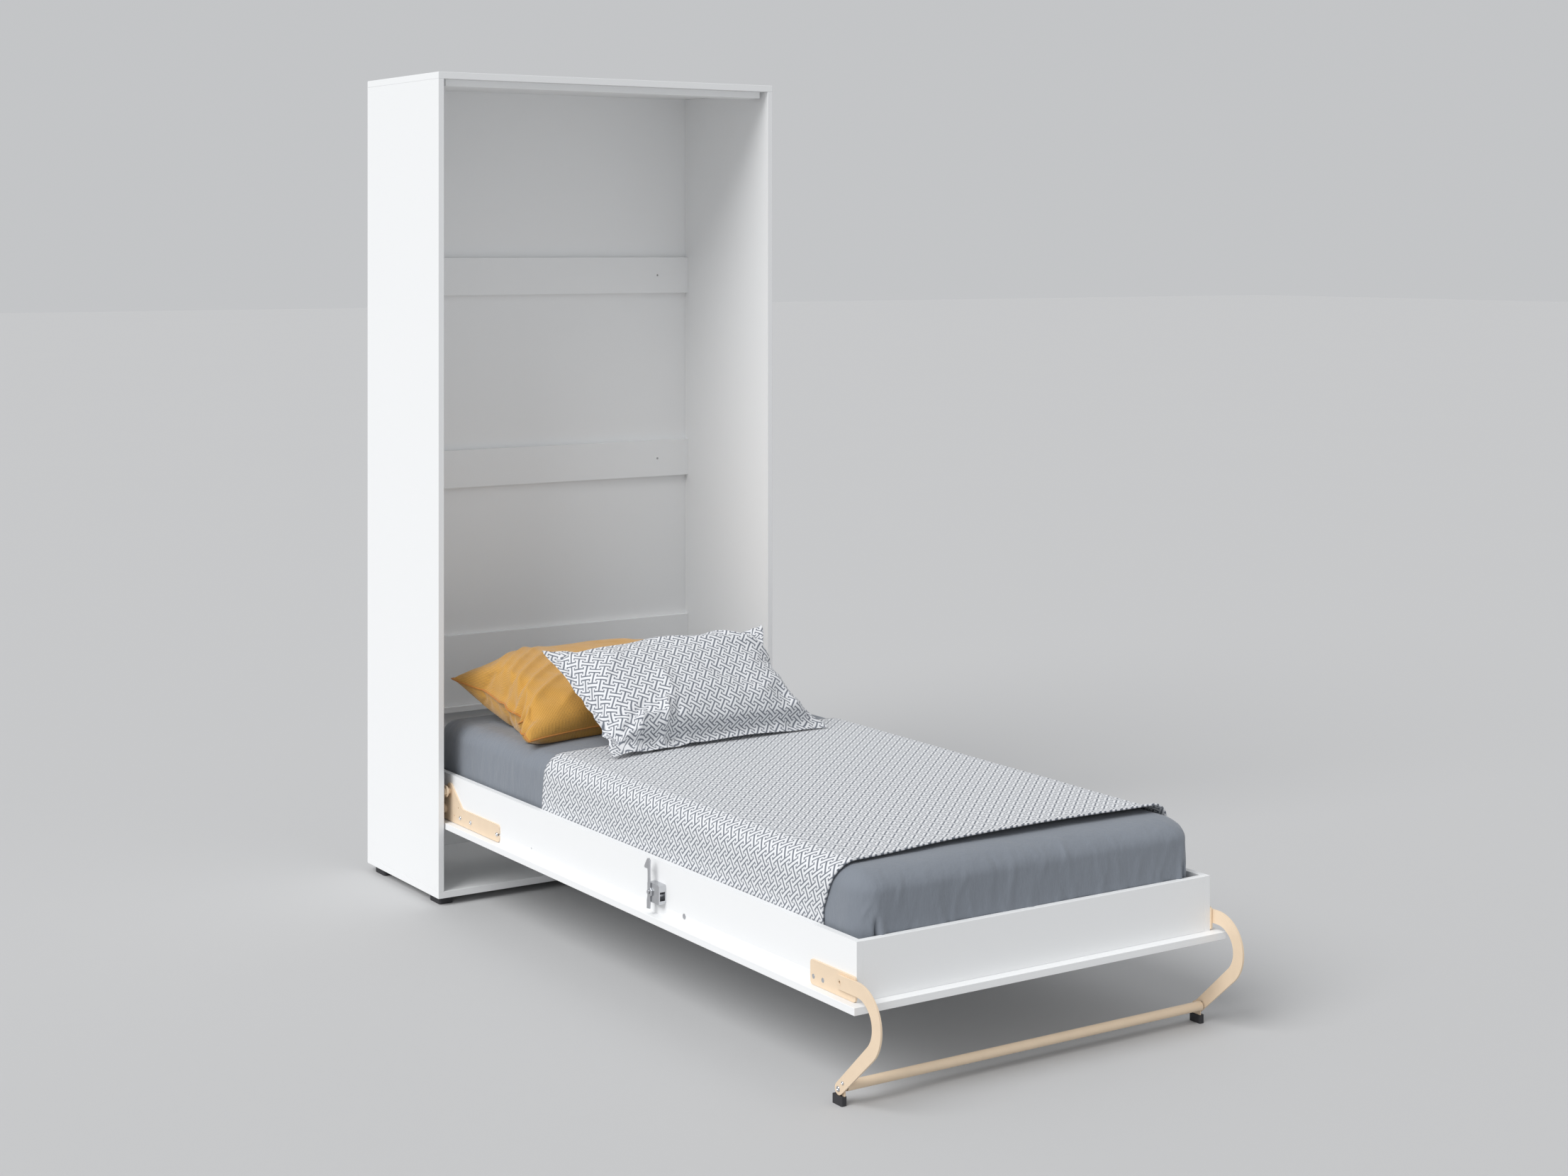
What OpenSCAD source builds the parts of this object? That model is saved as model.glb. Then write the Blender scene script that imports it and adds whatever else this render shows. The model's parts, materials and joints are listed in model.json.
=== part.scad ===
// Murphy wall bed: a vertical single bed that folds down out of a tall cabinet.
// The bed is drawn folded down. X runs to the right, Y towards the wall, Z up from the floor.
// The mattress sets the size of the bed frame, and the closed bed sets the size of the cabinet.

/* [Cabinet] */
// Depth of the cabinet's sides, without the back panel
cab_d = 457; // [380:1:600]
// Thickness of the side boards
side_t = 16; // [12:1:25]
// Thickness of the top and bottom boards
deck_t = 18; // [12:1:25]
// Thickness of the back panel
back_t = 3; // [2:0.5:8]
// Height of the cabinet's feet
foot_h = 20; // [10:1:40]
// Height of the two rails across the back
rail_h = 106; // [60:1:160]
// Thickness of the rails and panels inside the cabinet
inner_t = 16; // [12:1:25]
// Radius of the wall-fixing holes
wall_hole_r = 3; // [2:0.5:5]
// Distance between the two wall-fixing holes of a rail
wall_hole_gap = 800; // [400:10:900]
// Clearance between a bed rail and the cabinet's side, where the pivot and the strut run
side_gap = 28.5; // [26:0.5:40]
// Clearance between the closed base panel and the top board
top_clear = 4.5; // [3:0.5:10]

/* [Bed] */
// Width of the mattress
mat_w = 900; // [750:1:1200]
// Length of the mattress
mat_l = 2000; // [1650:1:2400]
// Thickness of the firm mattress core
core_t = 168; // [120:1:180]
// Thickness of the soft layer on top of the core
soft_t = 39; // [20:1:60]
// Clearance between the mattress and each side rail
mat_side_gap = 11; // [7:0.5:25]
// Clearance between the mattress and each end board
mat_end_gap = 4; // [2:0.5:20]
// Thickness of the base panel, which closes the cabinet's front
base_t = 16; // [12:1:22]
// Thickness of the bed's side rails and end boards
frame_t = 16; // [12:1:22]
// Height of the bed's side rails
frame_h = 122; // [100:1:150]
// Clearance between the base panel and the cabinet on each side
door_gap = 4.5; // [2:0.5:8]
// Height of the base panel's top face when the bed is down
base_z = 216; // [200:1:260]
// How far the base panel sticks out past the foot board
base_lip = 26; // [15:1:40]
// Number of slats
slat_n = 14; // [8:1:20]
// Thickness of a slat
slat_t = 8; // [6:1:12]
// Width of a slat
slat_w = 53; // [40:1:80]

/* [Fittings] */
// Thickness of the steel brackets
plate_t = 4; // [3:0.5:6]
// Distance of the main pivot behind the cabinet's front
pivot_y = 45.75; // [40:0.25:60]
// How far the bed frame's head end reaches past the main pivot
head_reach = 144.25; // [130:0.25:150]
// Radius of the main pivot pins
pin_r = 6; // [5:0.5:9]
// Running clearance around a pin
fit = 0.05; // [0.02:0.01:0.1]
// Gap between pieces that move past each other
gap = 0.5; // [0.3:0.1:1]
// Thickness of the leg straps
strap_t = 5; // [4:0.5:8]
// Width of the leg straps
strap_w = 30; // [24:1:36]
// Radius of the leg's crossbar
bar_r = 10.5; // [8:0.5:14]
// Outer radius of the gas strut's tube
tube_r = 8.5; // [7:0.5:9]
// Radius of the gas strut's rod
rod_r = 4; // [3:0.5:5]

/* [Hidden] */
$fn = 48;

LEFT = -1;
RIGHT = 1;
white = "#f2f3f4";
beige = "#e9cfae";
steel = "#c9ccd0";
dark = "#2b2c2e";

// Bed, folded down. The closed base panel is flush with the cabinet's front, which sets the
// pivot's height, and it reaches the top board, which sets the cabinet's height.
in_l = mat_l + 2*mat_end_gap;       // clear length between the end boards
frame_l = in_l + 2*frame_t;
rail_gap_w = mat_w + 2*mat_side_gap; // clear width between the rails
rail_x = rail_gap_w/2 + frame_t;    // outer face of a rail
pivot_z = pivot_y + base_z - base_t;
frame_y1 = pivot_y + head_reach;
frame_y0 = frame_y1 - frame_l;
base_y0 = frame_y0 - base_lip;
mat_y0 = frame_y0 + frame_t + mat_end_gap;
mat_y1 = mat_y0 + mat_l;
slat_z = base_z + 41;               // underside of the slats
core_z = slat_z + slat_t;
soft_z = core_z + core_t;
mat_z = soft_z + soft_t;
ledge_h = 20;
ledge_w = 24;
bearer_w = 30;
slat_inset = 20;                    // end slats from the end boards

// Cabinet
in_x = rail_x + side_gap;           // inner face of a side
in_w = 2*in_x;
cab_w = in_w + 2*side_t;
side_z0 = foot_h + deck_t;          // top face of the bottom board
side_z1 = pivot_z + pivot_y - base_y0 + top_clear; // underside of the top board
cab_h = side_z1 + deck_t;
bar_y0 = cab_d - inner_t;           // front face of the rails across the back
upper_rail_z = cab_h - 597;
lower_rail_z = cab_h - 1142;
head_panel_z = 432;
head_panel_h = 199;
stop_y = 20;                        // strip under the top board that the closed bed meets
stop_d = 60;
stop_end_gap = 14;
stop_h = 18;

// The head end of the base panel swings just clear of the bottom board
base_swing_gap = 3;
base_y1 = pivot_y + sqrt(pow(pivot_z - side_z0 - base_swing_gap, 2) - pow(pivot_z - base_z + base_t, 2));
base_w = in_w - 2*door_gap;

// Bedding
blanket_t = 5;
blanket_foot = 85;                  // from the mattress's foot end to the blanket
blanket_head = 665;                 // from the blanket to the mattress's head end
blanket_r = 34;
pillow_r = 9;                       // rounding of a pillow's seam

// Hinge bracket, in the plane of the rail: y and z from the pivot
lobe_dy = -29;                      // strut bolt from the pivot
lobe_dz = 51;
lobe_r = 21;
boss_h = 6;                         // collar round the main pivot
arm_dy = -315;                      // end of the bracket's arm
arm_screw_dy = [-305, -154, -93];
arm_screw_dz = 19;
screw_r = 2;                        // shank of the small screws
screw_hole_r = 2.2;
arm_z0 = base_z + 1.5;
arm_h = 44;

// Gas struts
strut_x = in_x - 12.5;              // plane of the struts
anchor_y = cab_d - 47;
anchor_z = pivot_z + 44;
bolt_y = pivot_y + lobe_dy;
bolt_z = pivot_z + lobe_dz;
strut_l = norm([anchor_y - bolt_y, anchor_z - bolt_z]);
strut_tilt = atan2(anchor_z - bolt_z, anchor_y - bolt_y);
strut_closed_l = norm([anchor_y - pivot_y - lobe_dz, anchor_z - pivot_z + lobe_dy]);
tube_end = strut_closed_l - 57;
gland_l = 12;
eye_r = 9;
link_h = 30;                        // rod end strap
link_t = 5;

// Metal cap and spare hole low on each rail's outer face
rail_cap_dy = 671;                  // from the foot end
rail_cap_r = 6.3;
rail_hole_dy = 630;                 // from the head end
rail_hole_r = 3;
rail_fix_z = 20.5;

// Leg
leg_y = frame_y0 + 46;              // leg pivot
leg_z = base_z + 31.5;
leg_in = rail_x + plate_t + 1 + gap; // inner face of a leg strap
leg_screw_dy = [68, 102];
leg_bend_r = 67;                    // middle line of the leg's round bend
leg_bend_y = leg_y - 61;            // centre of the bend
leg_bend_z = leg_z - leg_bend_r;
leg_low_y = leg_y + 3.5;            // lower bolt
leg_low_z = 32;
leg_end_r = 13;                     // rounded lower end of the leg
leg_rivet = [-16, 16];              // rivet from the lower bolt
bar_y = leg_y - 12;
bar_z = 40.5;
rubber_h = 19;
rubber_y = 35;
rubber_x = 13;
rubber_floor = 4;                   // rubber under the foot link
link_x = leg_in - 3;                // inner face of the foot link

// Latch
latch_y = frame_y0 + 777;           // middle of the latch housing
latch_z = base_z + 52;
latch_pivot_dy = 15;
latch_lever_t = 3;
latch_w = 19;                       // depth of the housing, out from the rail
latch_pin_r = 3;
latch_x = rail_x + latch_w + gap;   // inner face of the lever
strike_r = 4.5;
strike_dy = 27;                     // place of the strike under the barb, bed down
strike_dz = 45;

// The whole part stands over its own middle, from the leg's bend to the back panel
leg_front = leg_bend_y - leg_bend_r - strap_w/2;
y_mid = -(leg_front + cab_d + back_t)/2;

module row() {
    translate([0, y_mid, 0]) children();
}

// A board from a low corner and a size
module board(x, y, z, w, d, h, c = white) {
    color(c) translate([x, y, z]) cube([w, d, h]);
}

// Carries a flat outline in (y, z) sideways from |x| = x0 to x1 on one side
module plate(side, x0, x1) {
    mirror([side < 0 ? 1 : 0, 0, 0])
        translate([x0, 0, 0])
            rotate([90, 0, 90])
                linear_extrude(x1 - x0) children();
}

// A round bar along X from |x| = x0 to x1 on one side
module rod_x(side, y, z, x0, x1, r) {
    mirror([side < 0 ? 1 : 0, 0, 0])
        translate([x0, y, z]) rotate([0, 90, 0]) cylinder(r = r, h = x1 - x0);
}

// A pan-head screw on the face |x| = x, with its shank going inwards
module pan_screw(side, y, z, x, shank, head_r) {
    rod_x(side, y, z, x - shank, x, screw_r);
    mirror([side < 0 ? 1 : 0, 0, 0])
        translate([x, y, z]) rotate([0, 90, 0])
            rotate_extrude() polygon([[0, 0], [head_r, 0], [head_r, 1.2], [head_r - 1.4, 2.6], [0, 3]]);
}

// Points of a circle's arc, from angle a0 to a1
function arc(c, r, a0, a1, n = 8) =
    [for (i = [0:n]) let (a = a0 + (a1 - a0)*i/n) [c[0] + r*cos(a), c[1] + r*sin(a)]];

// A rectangle with round corners, as points
function round_rect(y0, z0, y1, z1, r) = concat(
    arc([y1 - r, z0 + r], r, -90, 0), arc([y1 - r, z1 - r], r, 0, 90),
    arc([y0 + r, z1 - r], r, 90, 180), arc([y0 + r, z0 + r], r, 180, 270));

// ---- Cabinet ----

module side_board(side) {
    board(side < 0 ? -cab_w/2 : in_x, 0, side_z0, side_t, cab_d, side_z1 - side_z0);
}

module left_side() side_board(LEFT);

module right_side() side_board(RIGHT);

module top_panel() board(-cab_w/2, 0, side_z1, cab_w, cab_d, deck_t);

module bottom_panel() board(-cab_w/2, 0, foot_h, cab_w, cab_d, deck_t);

module back_panel() {
    color(white) difference() {
        translate([-cab_w/2 + 1, cab_d, foot_h + 1]) cube([cab_w - 2, back_t, cab_h - foot_h - 2]);
        wall_holes();
    }
}

module wall_holes() {
    for (z = [upper_rail_z, lower_rail_z], s = [LEFT, RIGHT])
        translate([s*wall_hole_gap/2, bar_y0 - 1, z + rail_h/2])
            rotate([-90, 0, 0]) cylinder(r = wall_hole_r, h = inner_t + back_t + 2);
}

module back_rail(z) {
    color(white) difference() {
        translate([-in_x, bar_y0, z]) cube([in_w, inner_t, rail_h]);
        wall_holes();
    }
}

module upper_back_rail() back_rail(upper_rail_z);

module lower_back_rail() back_rail(lower_rail_z);

module headboard_panel() board(-in_x, bar_y0, head_panel_z, in_w, inner_t, head_panel_h);

module headboard_batten() {
    board(-in_x, bar_y0 - inner_t, head_panel_z - 16, in_w, 2*inner_t, 16);
}

module top_stop_rail() {
    w = in_w - 2*stop_end_gap;
    board(-w/2, stop_y, side_z1 - stop_h, w, stop_d, stop_h);
}

module cabinet_feet() {
    foot_x = 40;
    foot_y = 62;
    color(dark) for (s = [LEFT, RIGHT], y = [17.6, cab_d - 27 - foot_y])
        translate([s*(cab_w/2 - 11 - foot_x/2), y + foot_y/2, 0])
            linear_extrude(foot_h) polygon(round_rect(-foot_x/2, -foot_y/2, foot_x/2, foot_y/2, 6));
}

// Steel plate on the cabinet's side that carries the main pivot
module side_plate(side) {
    hole_at = [[-26, -52], [78, -52], [-26, 100], [78, 100]];
    color(steel) plate(side, in_x - 3, in_x) difference() {
        polygon(round_rect(pivot_y - 40, pivot_z - 66, pivot_y + 92, pivot_z + 114, 12));
        for (h = hole_at) translate([pivot_y + h[0], pivot_z + h[1]]) circle(r = 3);
    }
}

module side_plate_left() side_plate(LEFT);

module side_plate_right() side_plate(RIGHT);

module pivot_pin(side) {
    color(steel) {
        rod_x(side, pivot_y, pivot_z, rail_x + 0.3, in_x - 3, pin_r);
        rod_x(side, pivot_y, pivot_z, in_x - 6, in_x - 3, pin_r + 4);
    }
}

module pivot_pin_left() pivot_pin(LEFT);

module pivot_pin_right() pivot_pin(RIGHT);

module strut_anchor(side) {
    color(steel) {
        rod_x(side, anchor_y, anchor_z, strut_x - link_t/2 - 1, in_x, 5);
        rod_x(side, anchor_y, anchor_z, strut_x - link_t/2 - 3.5, strut_x - link_t/2 - gap, 8);
        rod_x(side, anchor_y, anchor_z, in_x - 3, in_x, 20);
    }
}

module strut_anchor_left() strut_anchor(LEFT);

module strut_anchor_right() strut_anchor(RIGHT);

// The pin that the latch hooks when the bed is closed: its place is the closed place of a
// point under the hook's barb
module latch_strike() {
    y = pivot_y + (latch_z + strike_dz - pivot_z);
    z = pivot_z - (latch_y + strike_dy - pivot_y);
    color(steel) {
        rod_x(LEFT, y, z, latch_x - 4, in_x, strike_r);
        plate(LEFT, in_x - 2, in_x) polygon(round_rect(y - 14, z - 26, y + 14, z + 26, 5));
    }
}

// ---- Bed ----

module base_panel() board(-base_w/2, base_y0, base_z - base_t, base_w, base_y1 - base_y0, base_t);

module rail(side) {
    color(white) difference() {
        translate([side < 0 ? -rail_x : rail_x - frame_t, frame_y0, base_z])
            cube([frame_t, frame_l, frame_h]);
        rod_x(side, leg_y, leg_z, rail_x - 8, rail_x + 1, pin_r + 0.5);
        rod_x(side, frame_y1 - rail_hole_dy, base_z + rail_fix_z, rail_x - 8, rail_x + 1, rail_hole_r);
    }
}

module left_rail() rail(LEFT);

module right_rail() rail(RIGHT);

module foot_board() board(-rail_gap_w/2, frame_y0, base_z, rail_gap_w, frame_t, frame_h);

module head_board() board(-rail_gap_w/2, frame_y1 - frame_t, base_z, rail_gap_w, frame_t, frame_h);

module slat_ledge(side) {
    board(side < 0 ? -rail_gap_w/2 : rail_gap_w/2 - ledge_w, frame_y0 + frame_t, slat_z - ledge_h,
        ledge_w, in_l, ledge_h, "#dcc9a3");
}

module slat_ledge_left() slat_ledge(LEFT);

module slat_ledge_right() slat_ledge(RIGHT);

module center_bearer() {
    board(-bearer_w/2, frame_y0 + frame_t, base_z, bearer_w, in_l, slat_z - base_z, "#dcc9a3");
}

module slats() {
    pitch = (in_l - slat_w - 2*slat_inset)/(slat_n - 1);
    slat_l = rail_gap_w - 6;
    for (i = [0:slat_n - 1])
        board(-slat_l/2, frame_y0 + frame_t + slat_inset + i*pitch, slat_z,
            slat_l, slat_w, slat_t, "#e3cfa4");
}

// Steel bracket on the rail: an arm along the rail, a boss on the main pivot and a lobe
// that the strut pulls on
module hinge_bracket(side) {
    lobe = [pivot_y + lobe_dy, pivot_z + lobe_dz];
    low = [pivot_y, pivot_z];
    arm_y = pivot_y + arm_dy;
    arm_z1 = arm_z0 + arm_h;
    low_r = pivot_z - arm_z0;
    outline = concat(
        arc([arm_y + 8, arm_z0 + 8], 8, 270, 180),
        arc([arm_y + 8, arm_z1 - 8], 8, 180, 90),
        arc([lobe[0] - 74 - 6, arm_z1 + 20], 20, 270, 325, 5),
        arc(lobe, lobe_r, 148, 20, 14),
        arc(low, low_r, 35, -90, 12));
    color(beige) difference() {
        union() {
            plate(side, rail_x, rail_x + plate_t) polygon(outline);
            rod_x(side, pivot_y, pivot_z, rail_x + plate_t, rail_x + plate_t + boss_h, pin_r + 6);
        }
        rod_x(side, pivot_y, pivot_z, rail_x - 1, rail_x + plate_t + boss_h + 1, pin_r + fit);
        // Open slot at the arm's end, screw holes, and two small spare holes
        plate(side, rail_x - 1, rail_x + plate_t + 1)
            translate([arm_y - 1, arm_z0 + arm_screw_dz - 3]) square([11, 6]);
        for (h = [[-80, 43], [-57, 19], for (dy = arm_screw_dy) [dy, arm_screw_dz]])
            rod_x(side, pivot_y + h[0], arm_z0 + h[1], rail_x - 1, rail_x + plate_t + 1, screw_hole_r);
    }
}

module hinge_bracket_left() hinge_bracket(LEFT);

module hinge_bracket_right() hinge_bracket(RIGHT);

module bracket_screws() {
    color(steel) for (s = [LEFT, RIGHT], dy = arm_screw_dy)
        pan_screw(s, pivot_y + dy, arm_z0 + arm_screw_dz, rail_x + plate_t, plate_t - 0.2, 5.5);
}

// Steel plate on the rail that carries the leg
module leg_plate(side) {
    y1 = leg_y + 114;
    color(beige) difference() {
        plate(side, rail_x, rail_x + plate_t + 1)
            polygon(round_rect(frame_y0 - 3, base_z + 0.5, y1, base_z + 52, 8));
        rod_x(side, leg_y, leg_z, rail_x - 1, rail_x + plate_t + 2, pin_r);
        for (dy = leg_screw_dy)
            rod_x(side, leg_y + dy, leg_z - 14, rail_x + 2, rail_x + plate_t + 2, 5);
    }
}

module leg_plate_left() leg_plate(LEFT);

module leg_plate_right() leg_plate(RIGHT);

module leg_plate_screws() {
    color(steel) for (s = [LEFT, RIGHT], dy = leg_screw_dy)
        rod_x(s, leg_y + dy, leg_z - 14, rail_x + 2, rail_x + plate_t + 0.9, 5);
}

// Hollow rivet that the leg turns on
module leg_pivot(side) {
    color(beige) difference() {
        rod_x(side, leg_y, leg_z, rail_x - 7.5, leg_in + strap_t, pin_r);
        rod_x(side, leg_y, leg_z, rail_x - 8, leg_in + strap_t + 1, 3.2);
    }
}

module leg_pivots() {
    leg_pivot(LEFT);
    leg_pivot(RIGHT);
}

module mattress_core() board(-mat_w/2, mat_y0, core_z, mat_w, mat_l, core_t, "#8d949d");

// Soft layer of the mattress, with round upper edges
module mattress_top() {
    r = min(30, soft_t - 4);
    color("#8d949d") translate([0, mat_y0 + mat_l, soft_z]) rotate([90, 0, 0]) linear_extrude(mat_l)
        polygon(concat([[-mat_w/2, 0], [mat_w/2, 0]],
            arc([mat_w/2 - r, soft_t - r], r, 0, 90), arc([r - mat_w/2, soft_t - r], r, 90, 180)));
}

// A blanket over the mattress that hangs down both sides to the rails
module blanket() {
    r = blanket_r;
    t = blanket_t;
    x = mat_w/2 + t;
    z0 = base_z + frame_h + 1;
    l = mat_l - blanket_foot - blanket_head;
    outer = concat([[-x, z0], [x, z0]], arc([x - r, mat_z + t - r], r, 0, 90),
        arc([r - x, mat_z + t - r], r, 90, 180));
    inner_r = r - t + 0.5;
    inner_x = mat_w/2 + 0.5;
    inner = concat([[-inner_x, z0 - 1], [inner_x, z0 - 1]],
        arc([inner_x - inner_r, mat_z + 0.5 - inner_r], inner_r, 0, 90),
        arc([inner_r - inner_x, mat_z + 0.5 - inner_r], inner_r, 90, 180));
    color("#d9dbdf") translate([0, mat_y1 - blanket_head, 0]) rotate([90, 0, 0]) linear_extrude(l)
        difference() {
            polygon(outer);
            polygon(inner);
        }
}

// A pillow: a soft slab, thickest in the middle, that leans back against what is behind it
module pillow(w, l, t, c) {
    color(c) hull() {
        for (sx = [-1, 1], sy = [-1, 1])
            translate([sx*(w/2 - pillow_r), sy*(l/2 - pillow_r), 0]) sphere(r = pillow_r, $fn = 16);
        scale([w*0.34, l*0.34, t/2]) sphere(r = 1, $fn = 32);
    }
}

module white_pillow() {
    translate([-43, mat_y1 - 640, mat_z + 135]) rotate([38, 0, 0]) pillow(645, 385, 96, "#dfe1e5");
}

module mustard_pillow() {
    translate([-116, mat_y1 - 292, mat_z + 68]) rotate([8, 0, 0]) rotate([0, 0, -2])
        pillow(630, 480, 110, "#d7a43c");
}

// Zinc housing of the latch, open towards the foot
module latch_housing() {
    y0 = latch_y - 26;
    y1 = latch_y + 26;
    color(steel) difference() {
        plate(LEFT, rail_x, rail_x + latch_w) polygon(round_rect(y0, latch_z - 22, y1, latch_z + 22, 4));
        plate(LEFT, rail_x + 3, rail_x + 16)
            polygon([[y0 - 1, latch_z - 14], [y0 + 22, latch_z - 14], [y0 + 22, latch_z + 6], [y0 - 1, latch_z + 6]]);
        rod_x(LEFT, latch_y + latch_pivot_dy, latch_z, rail_x + 2, rail_x + latch_w + 1, latch_pin_r + fit);
        rod_x(LEFT, latch_y + latch_pivot_dy, latch_z, rail_x + 5, rail_x + 16, 8);
    }
}

module latch_pin() {
    color(steel) {
        rod_x(LEFT, latch_y + latch_pivot_dy, latch_z, rail_x + 2, latch_x + latch_lever_t + 1, latch_pin_r);
        rod_x(LEFT, latch_y + latch_pivot_dy, latch_z, latch_x + latch_lever_t + gap, latch_x + latch_lever_t + 2, 5);
        rod_x(LEFT, latch_y - 12, latch_z - 4, rail_x + 3, rail_x + 16, 4);
    }
}

module rail_caps() {
    color(steel) for (s = [LEFT, RIGHT])
        rod_x(s, frame_y0 + rail_cap_dy, base_z + rail_fix_z, rail_x, rail_x + 1, rail_cap_r);
}

// ---- Leg ----

// Flat steel leg: it leaves its pivot, goes round the base panel's end in one bend, and
// comes back under the bed
module leg_strap(side) {
    c = [leg_bend_y, leg_bend_z];
    ro = leg_bend_r + strap_w/2;
    ri = leg_bend_r - strap_w/2;
    low = [leg_low_y, leg_low_z];
    // The straight lower part leaves the bend where its middle line points at the lower bolt
    bend_end = 360 + atan2(low[1] - c[1], low[0] - c[0]) - acos(leg_bend_r/norm(low - c));
    outline = concat(
        arc([leg_y, leg_z], strap_w/2, -90, 90, 12),
        arc(c, ro, 90, bend_end, 24),
        arc(low, leg_end_r, bend_end, bend_end + 180, 12),
        arc(c, ri, bend_end, 90, 24));
    color(beige) difference() {
        plate(side, leg_in, leg_in + strap_t) polygon(outline);
        rod_x(side, leg_y, leg_z, leg_in - 1, leg_in + strap_t + 1, pin_r + fit);
        for (h = [[0, 0], leg_rivet])
            rod_x(side, leg_low_y + h[0], leg_low_z + h[1], leg_in - 1, leg_in + strap_t + 1, screw_hole_r);
    }
}

module leg_strap_left() leg_strap(LEFT);

module leg_strap_right() leg_strap(RIGHT);

module crossbar() {
    color(beige) difference() {
        translate([-link_x, bar_y, bar_z]) rotate([0, 90, 0]) cylinder(r = bar_r, h = 2*link_x);
        translate([-link_x - 1, bar_y, bar_z]) rotate([0, 90, 0])
            cylinder(r = bar_r - 1.5, h = 2*link_x + 2);
    }
}

// Small plate inside the strap that goes down into the rubber foot
module foot_link(side) {
    color(beige) plate(side, link_x, leg_in) link_outline();
}

module link_outline() {
    r = 14;
    y = leg_low_y - 1;
    polygon(concat([[y - r, rubber_floor], [y + r, rubber_floor]], arc([y, leg_low_z + 2], r, 0, 180, 12)));
}

module foot_link_left() foot_link(LEFT);

module foot_link_right() foot_link(RIGHT);

module rubber_feet() {
    color(dark) for (s = [LEFT, RIGHT]) difference() {
        translate([s*(leg_in + 1.5), leg_low_y + 1, 0]) linear_extrude(rubber_h)
            polygon(round_rect(-rubber_x/2, -rubber_y/2, rubber_x/2, rubber_y/2, 3));
        plate(s, link_x, leg_in) link_outline();
    }
}

module leg_bolts() {
    color(steel) for (s = [LEFT, RIGHT]) {
        pan_screw(s, leg_low_y, leg_low_z, leg_in + strap_t, strap_t - 0.2, 6);
        pan_screw(s, leg_low_y + leg_rivet[0], leg_low_z + leg_rivet[1], leg_in + strap_t, strap_t - 0.2, 4);
    }
}

// ---- Latch ----

// Flat hook on the housing's outer face: tail, stem and a barb that points to the head end
module latch_lever() {
    y = latch_y + latch_pivot_dy;
    hook = [[y - 6, latch_z - 37], [y + 8, latch_z - 39], [y + 8, latch_z - 20], [y + 4, latch_z - 8],
        [y + 4, latch_z + 44], [y + 5, latch_z + 52], [y + 18, latch_z + 52], [y + 19, latch_z + 56],
        [y + 6, latch_z + 75], [y, latch_z + 77], [y - 6, latch_z + 72], [y - 6, latch_z + 10],
        [y - 14, latch_z + 5], [y - 14, latch_z - 5], [y - 6, latch_z - 10]];
    color(steel) difference() {
        plate(LEFT, latch_x, latch_x + latch_lever_t) polygon(hook);
        rod_x(LEFT, y, latch_z, latch_x - 1, latch_x + latch_lever_t + 1, latch_pin_r + fit);
    }
}

// Points of ring k of a wire wound about X: the wire's centre runs round a helix
function coil_ring(k, per_turn, pitch, r, wire_r, sides) = let (a = 360*k/per_turn)
    [for (j = [0:sides - 1]) let (b = 360*j/sides)
        [pitch*k/per_turn + wire_r*sin(b), (r + wire_r*cos(b))*cos(a), (r + wire_r*cos(b))*sin(a)]];

module coil(turns, pitch, r, wire_r, per_turn = 14, sides = 8) {
    rings = turns*per_turn;
    points = [for (k = [0:rings]) each coil_ring(k, per_turn, pitch, r, wire_r, sides)];
    walls = [for (k = [0:rings - 1], j = [0:sides - 1]) let (n = (j + 1) % sides)
        [k*sides + j, (k + 1)*sides + j, (k + 1)*sides + n, k*sides + n]];
    first = [for (j = [0:sides - 1]) j];
    last = [for (j = [sides - 1:-1:0]) rings*sides + j];
    polyhedron(points, concat([first], walls, [last]), convexity = 6);
}

module latch_spring() {
    color(steel) translate([-rail_x - 14.5, latch_y + latch_pivot_dy, latch_z])
        coil(4, 1.9, 5, 0.7);
}

// ---- Gas struts ----

// Places a piece on a strut's own axis: +Z runs from the cabinet's stud to the bed's bolt
module on_strut(side) {
    mirror([side < 0 ? 1 : 0, 0, 0]) translate([strut_x, anchor_y, anchor_z])
        rotate([90 + strut_tilt, 0, 0]) children();
}

// Flat eye with a hole: a disc at the origin and a neck that runs up the axis
module eye(r, neck_w, neck_l, hole_r) {
    rotate([0, 90, 0]) difference() {
        translate([0, 0, -link_t/2]) union() {
            cylinder(r = r, h = link_t);
            translate([-neck_l, -neck_w/2, 0]) cube([neck_l, neck_w, link_t]);
        }
        translate([0, 0, -link_t]) cylinder(r = hole_r, h = 2*link_t);
    }
}

module strut_tube(side) {
    color("#3a3c40") on_strut(side) {
        eye(eye_r, 10, 16, 5 + fit);
        difference() {
            translate([0, 0, 14]) cylinder(r = tube_r, h = tube_end - 14);
            translate([0, 0, 20]) cylinder(r = tube_r - 1.5, h = tube_end - 20 - gland_l);
            translate([0, 0, 20]) cylinder(r = rod_r + fit, h = tube_end);
        }
    }
}

module strut_tube_left() strut_tube(LEFT);

module strut_tube_right() strut_tube(RIGHT);

module strut_rod(side) {
    piston_z = tube_end - gland_l - 14;
    color(steel) on_strut(side) {
        translate([0, 0, piston_z]) cylinder(r = rod_r, h = strut_l - 40 - piston_z);
        translate([0, 0, piston_z]) cylinder(r = tube_r - 1.5 - fit, h = 8);
    }
}

module strut_rod_left() strut_rod(LEFT);

module strut_rod_right() strut_rod(RIGHT);

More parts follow.
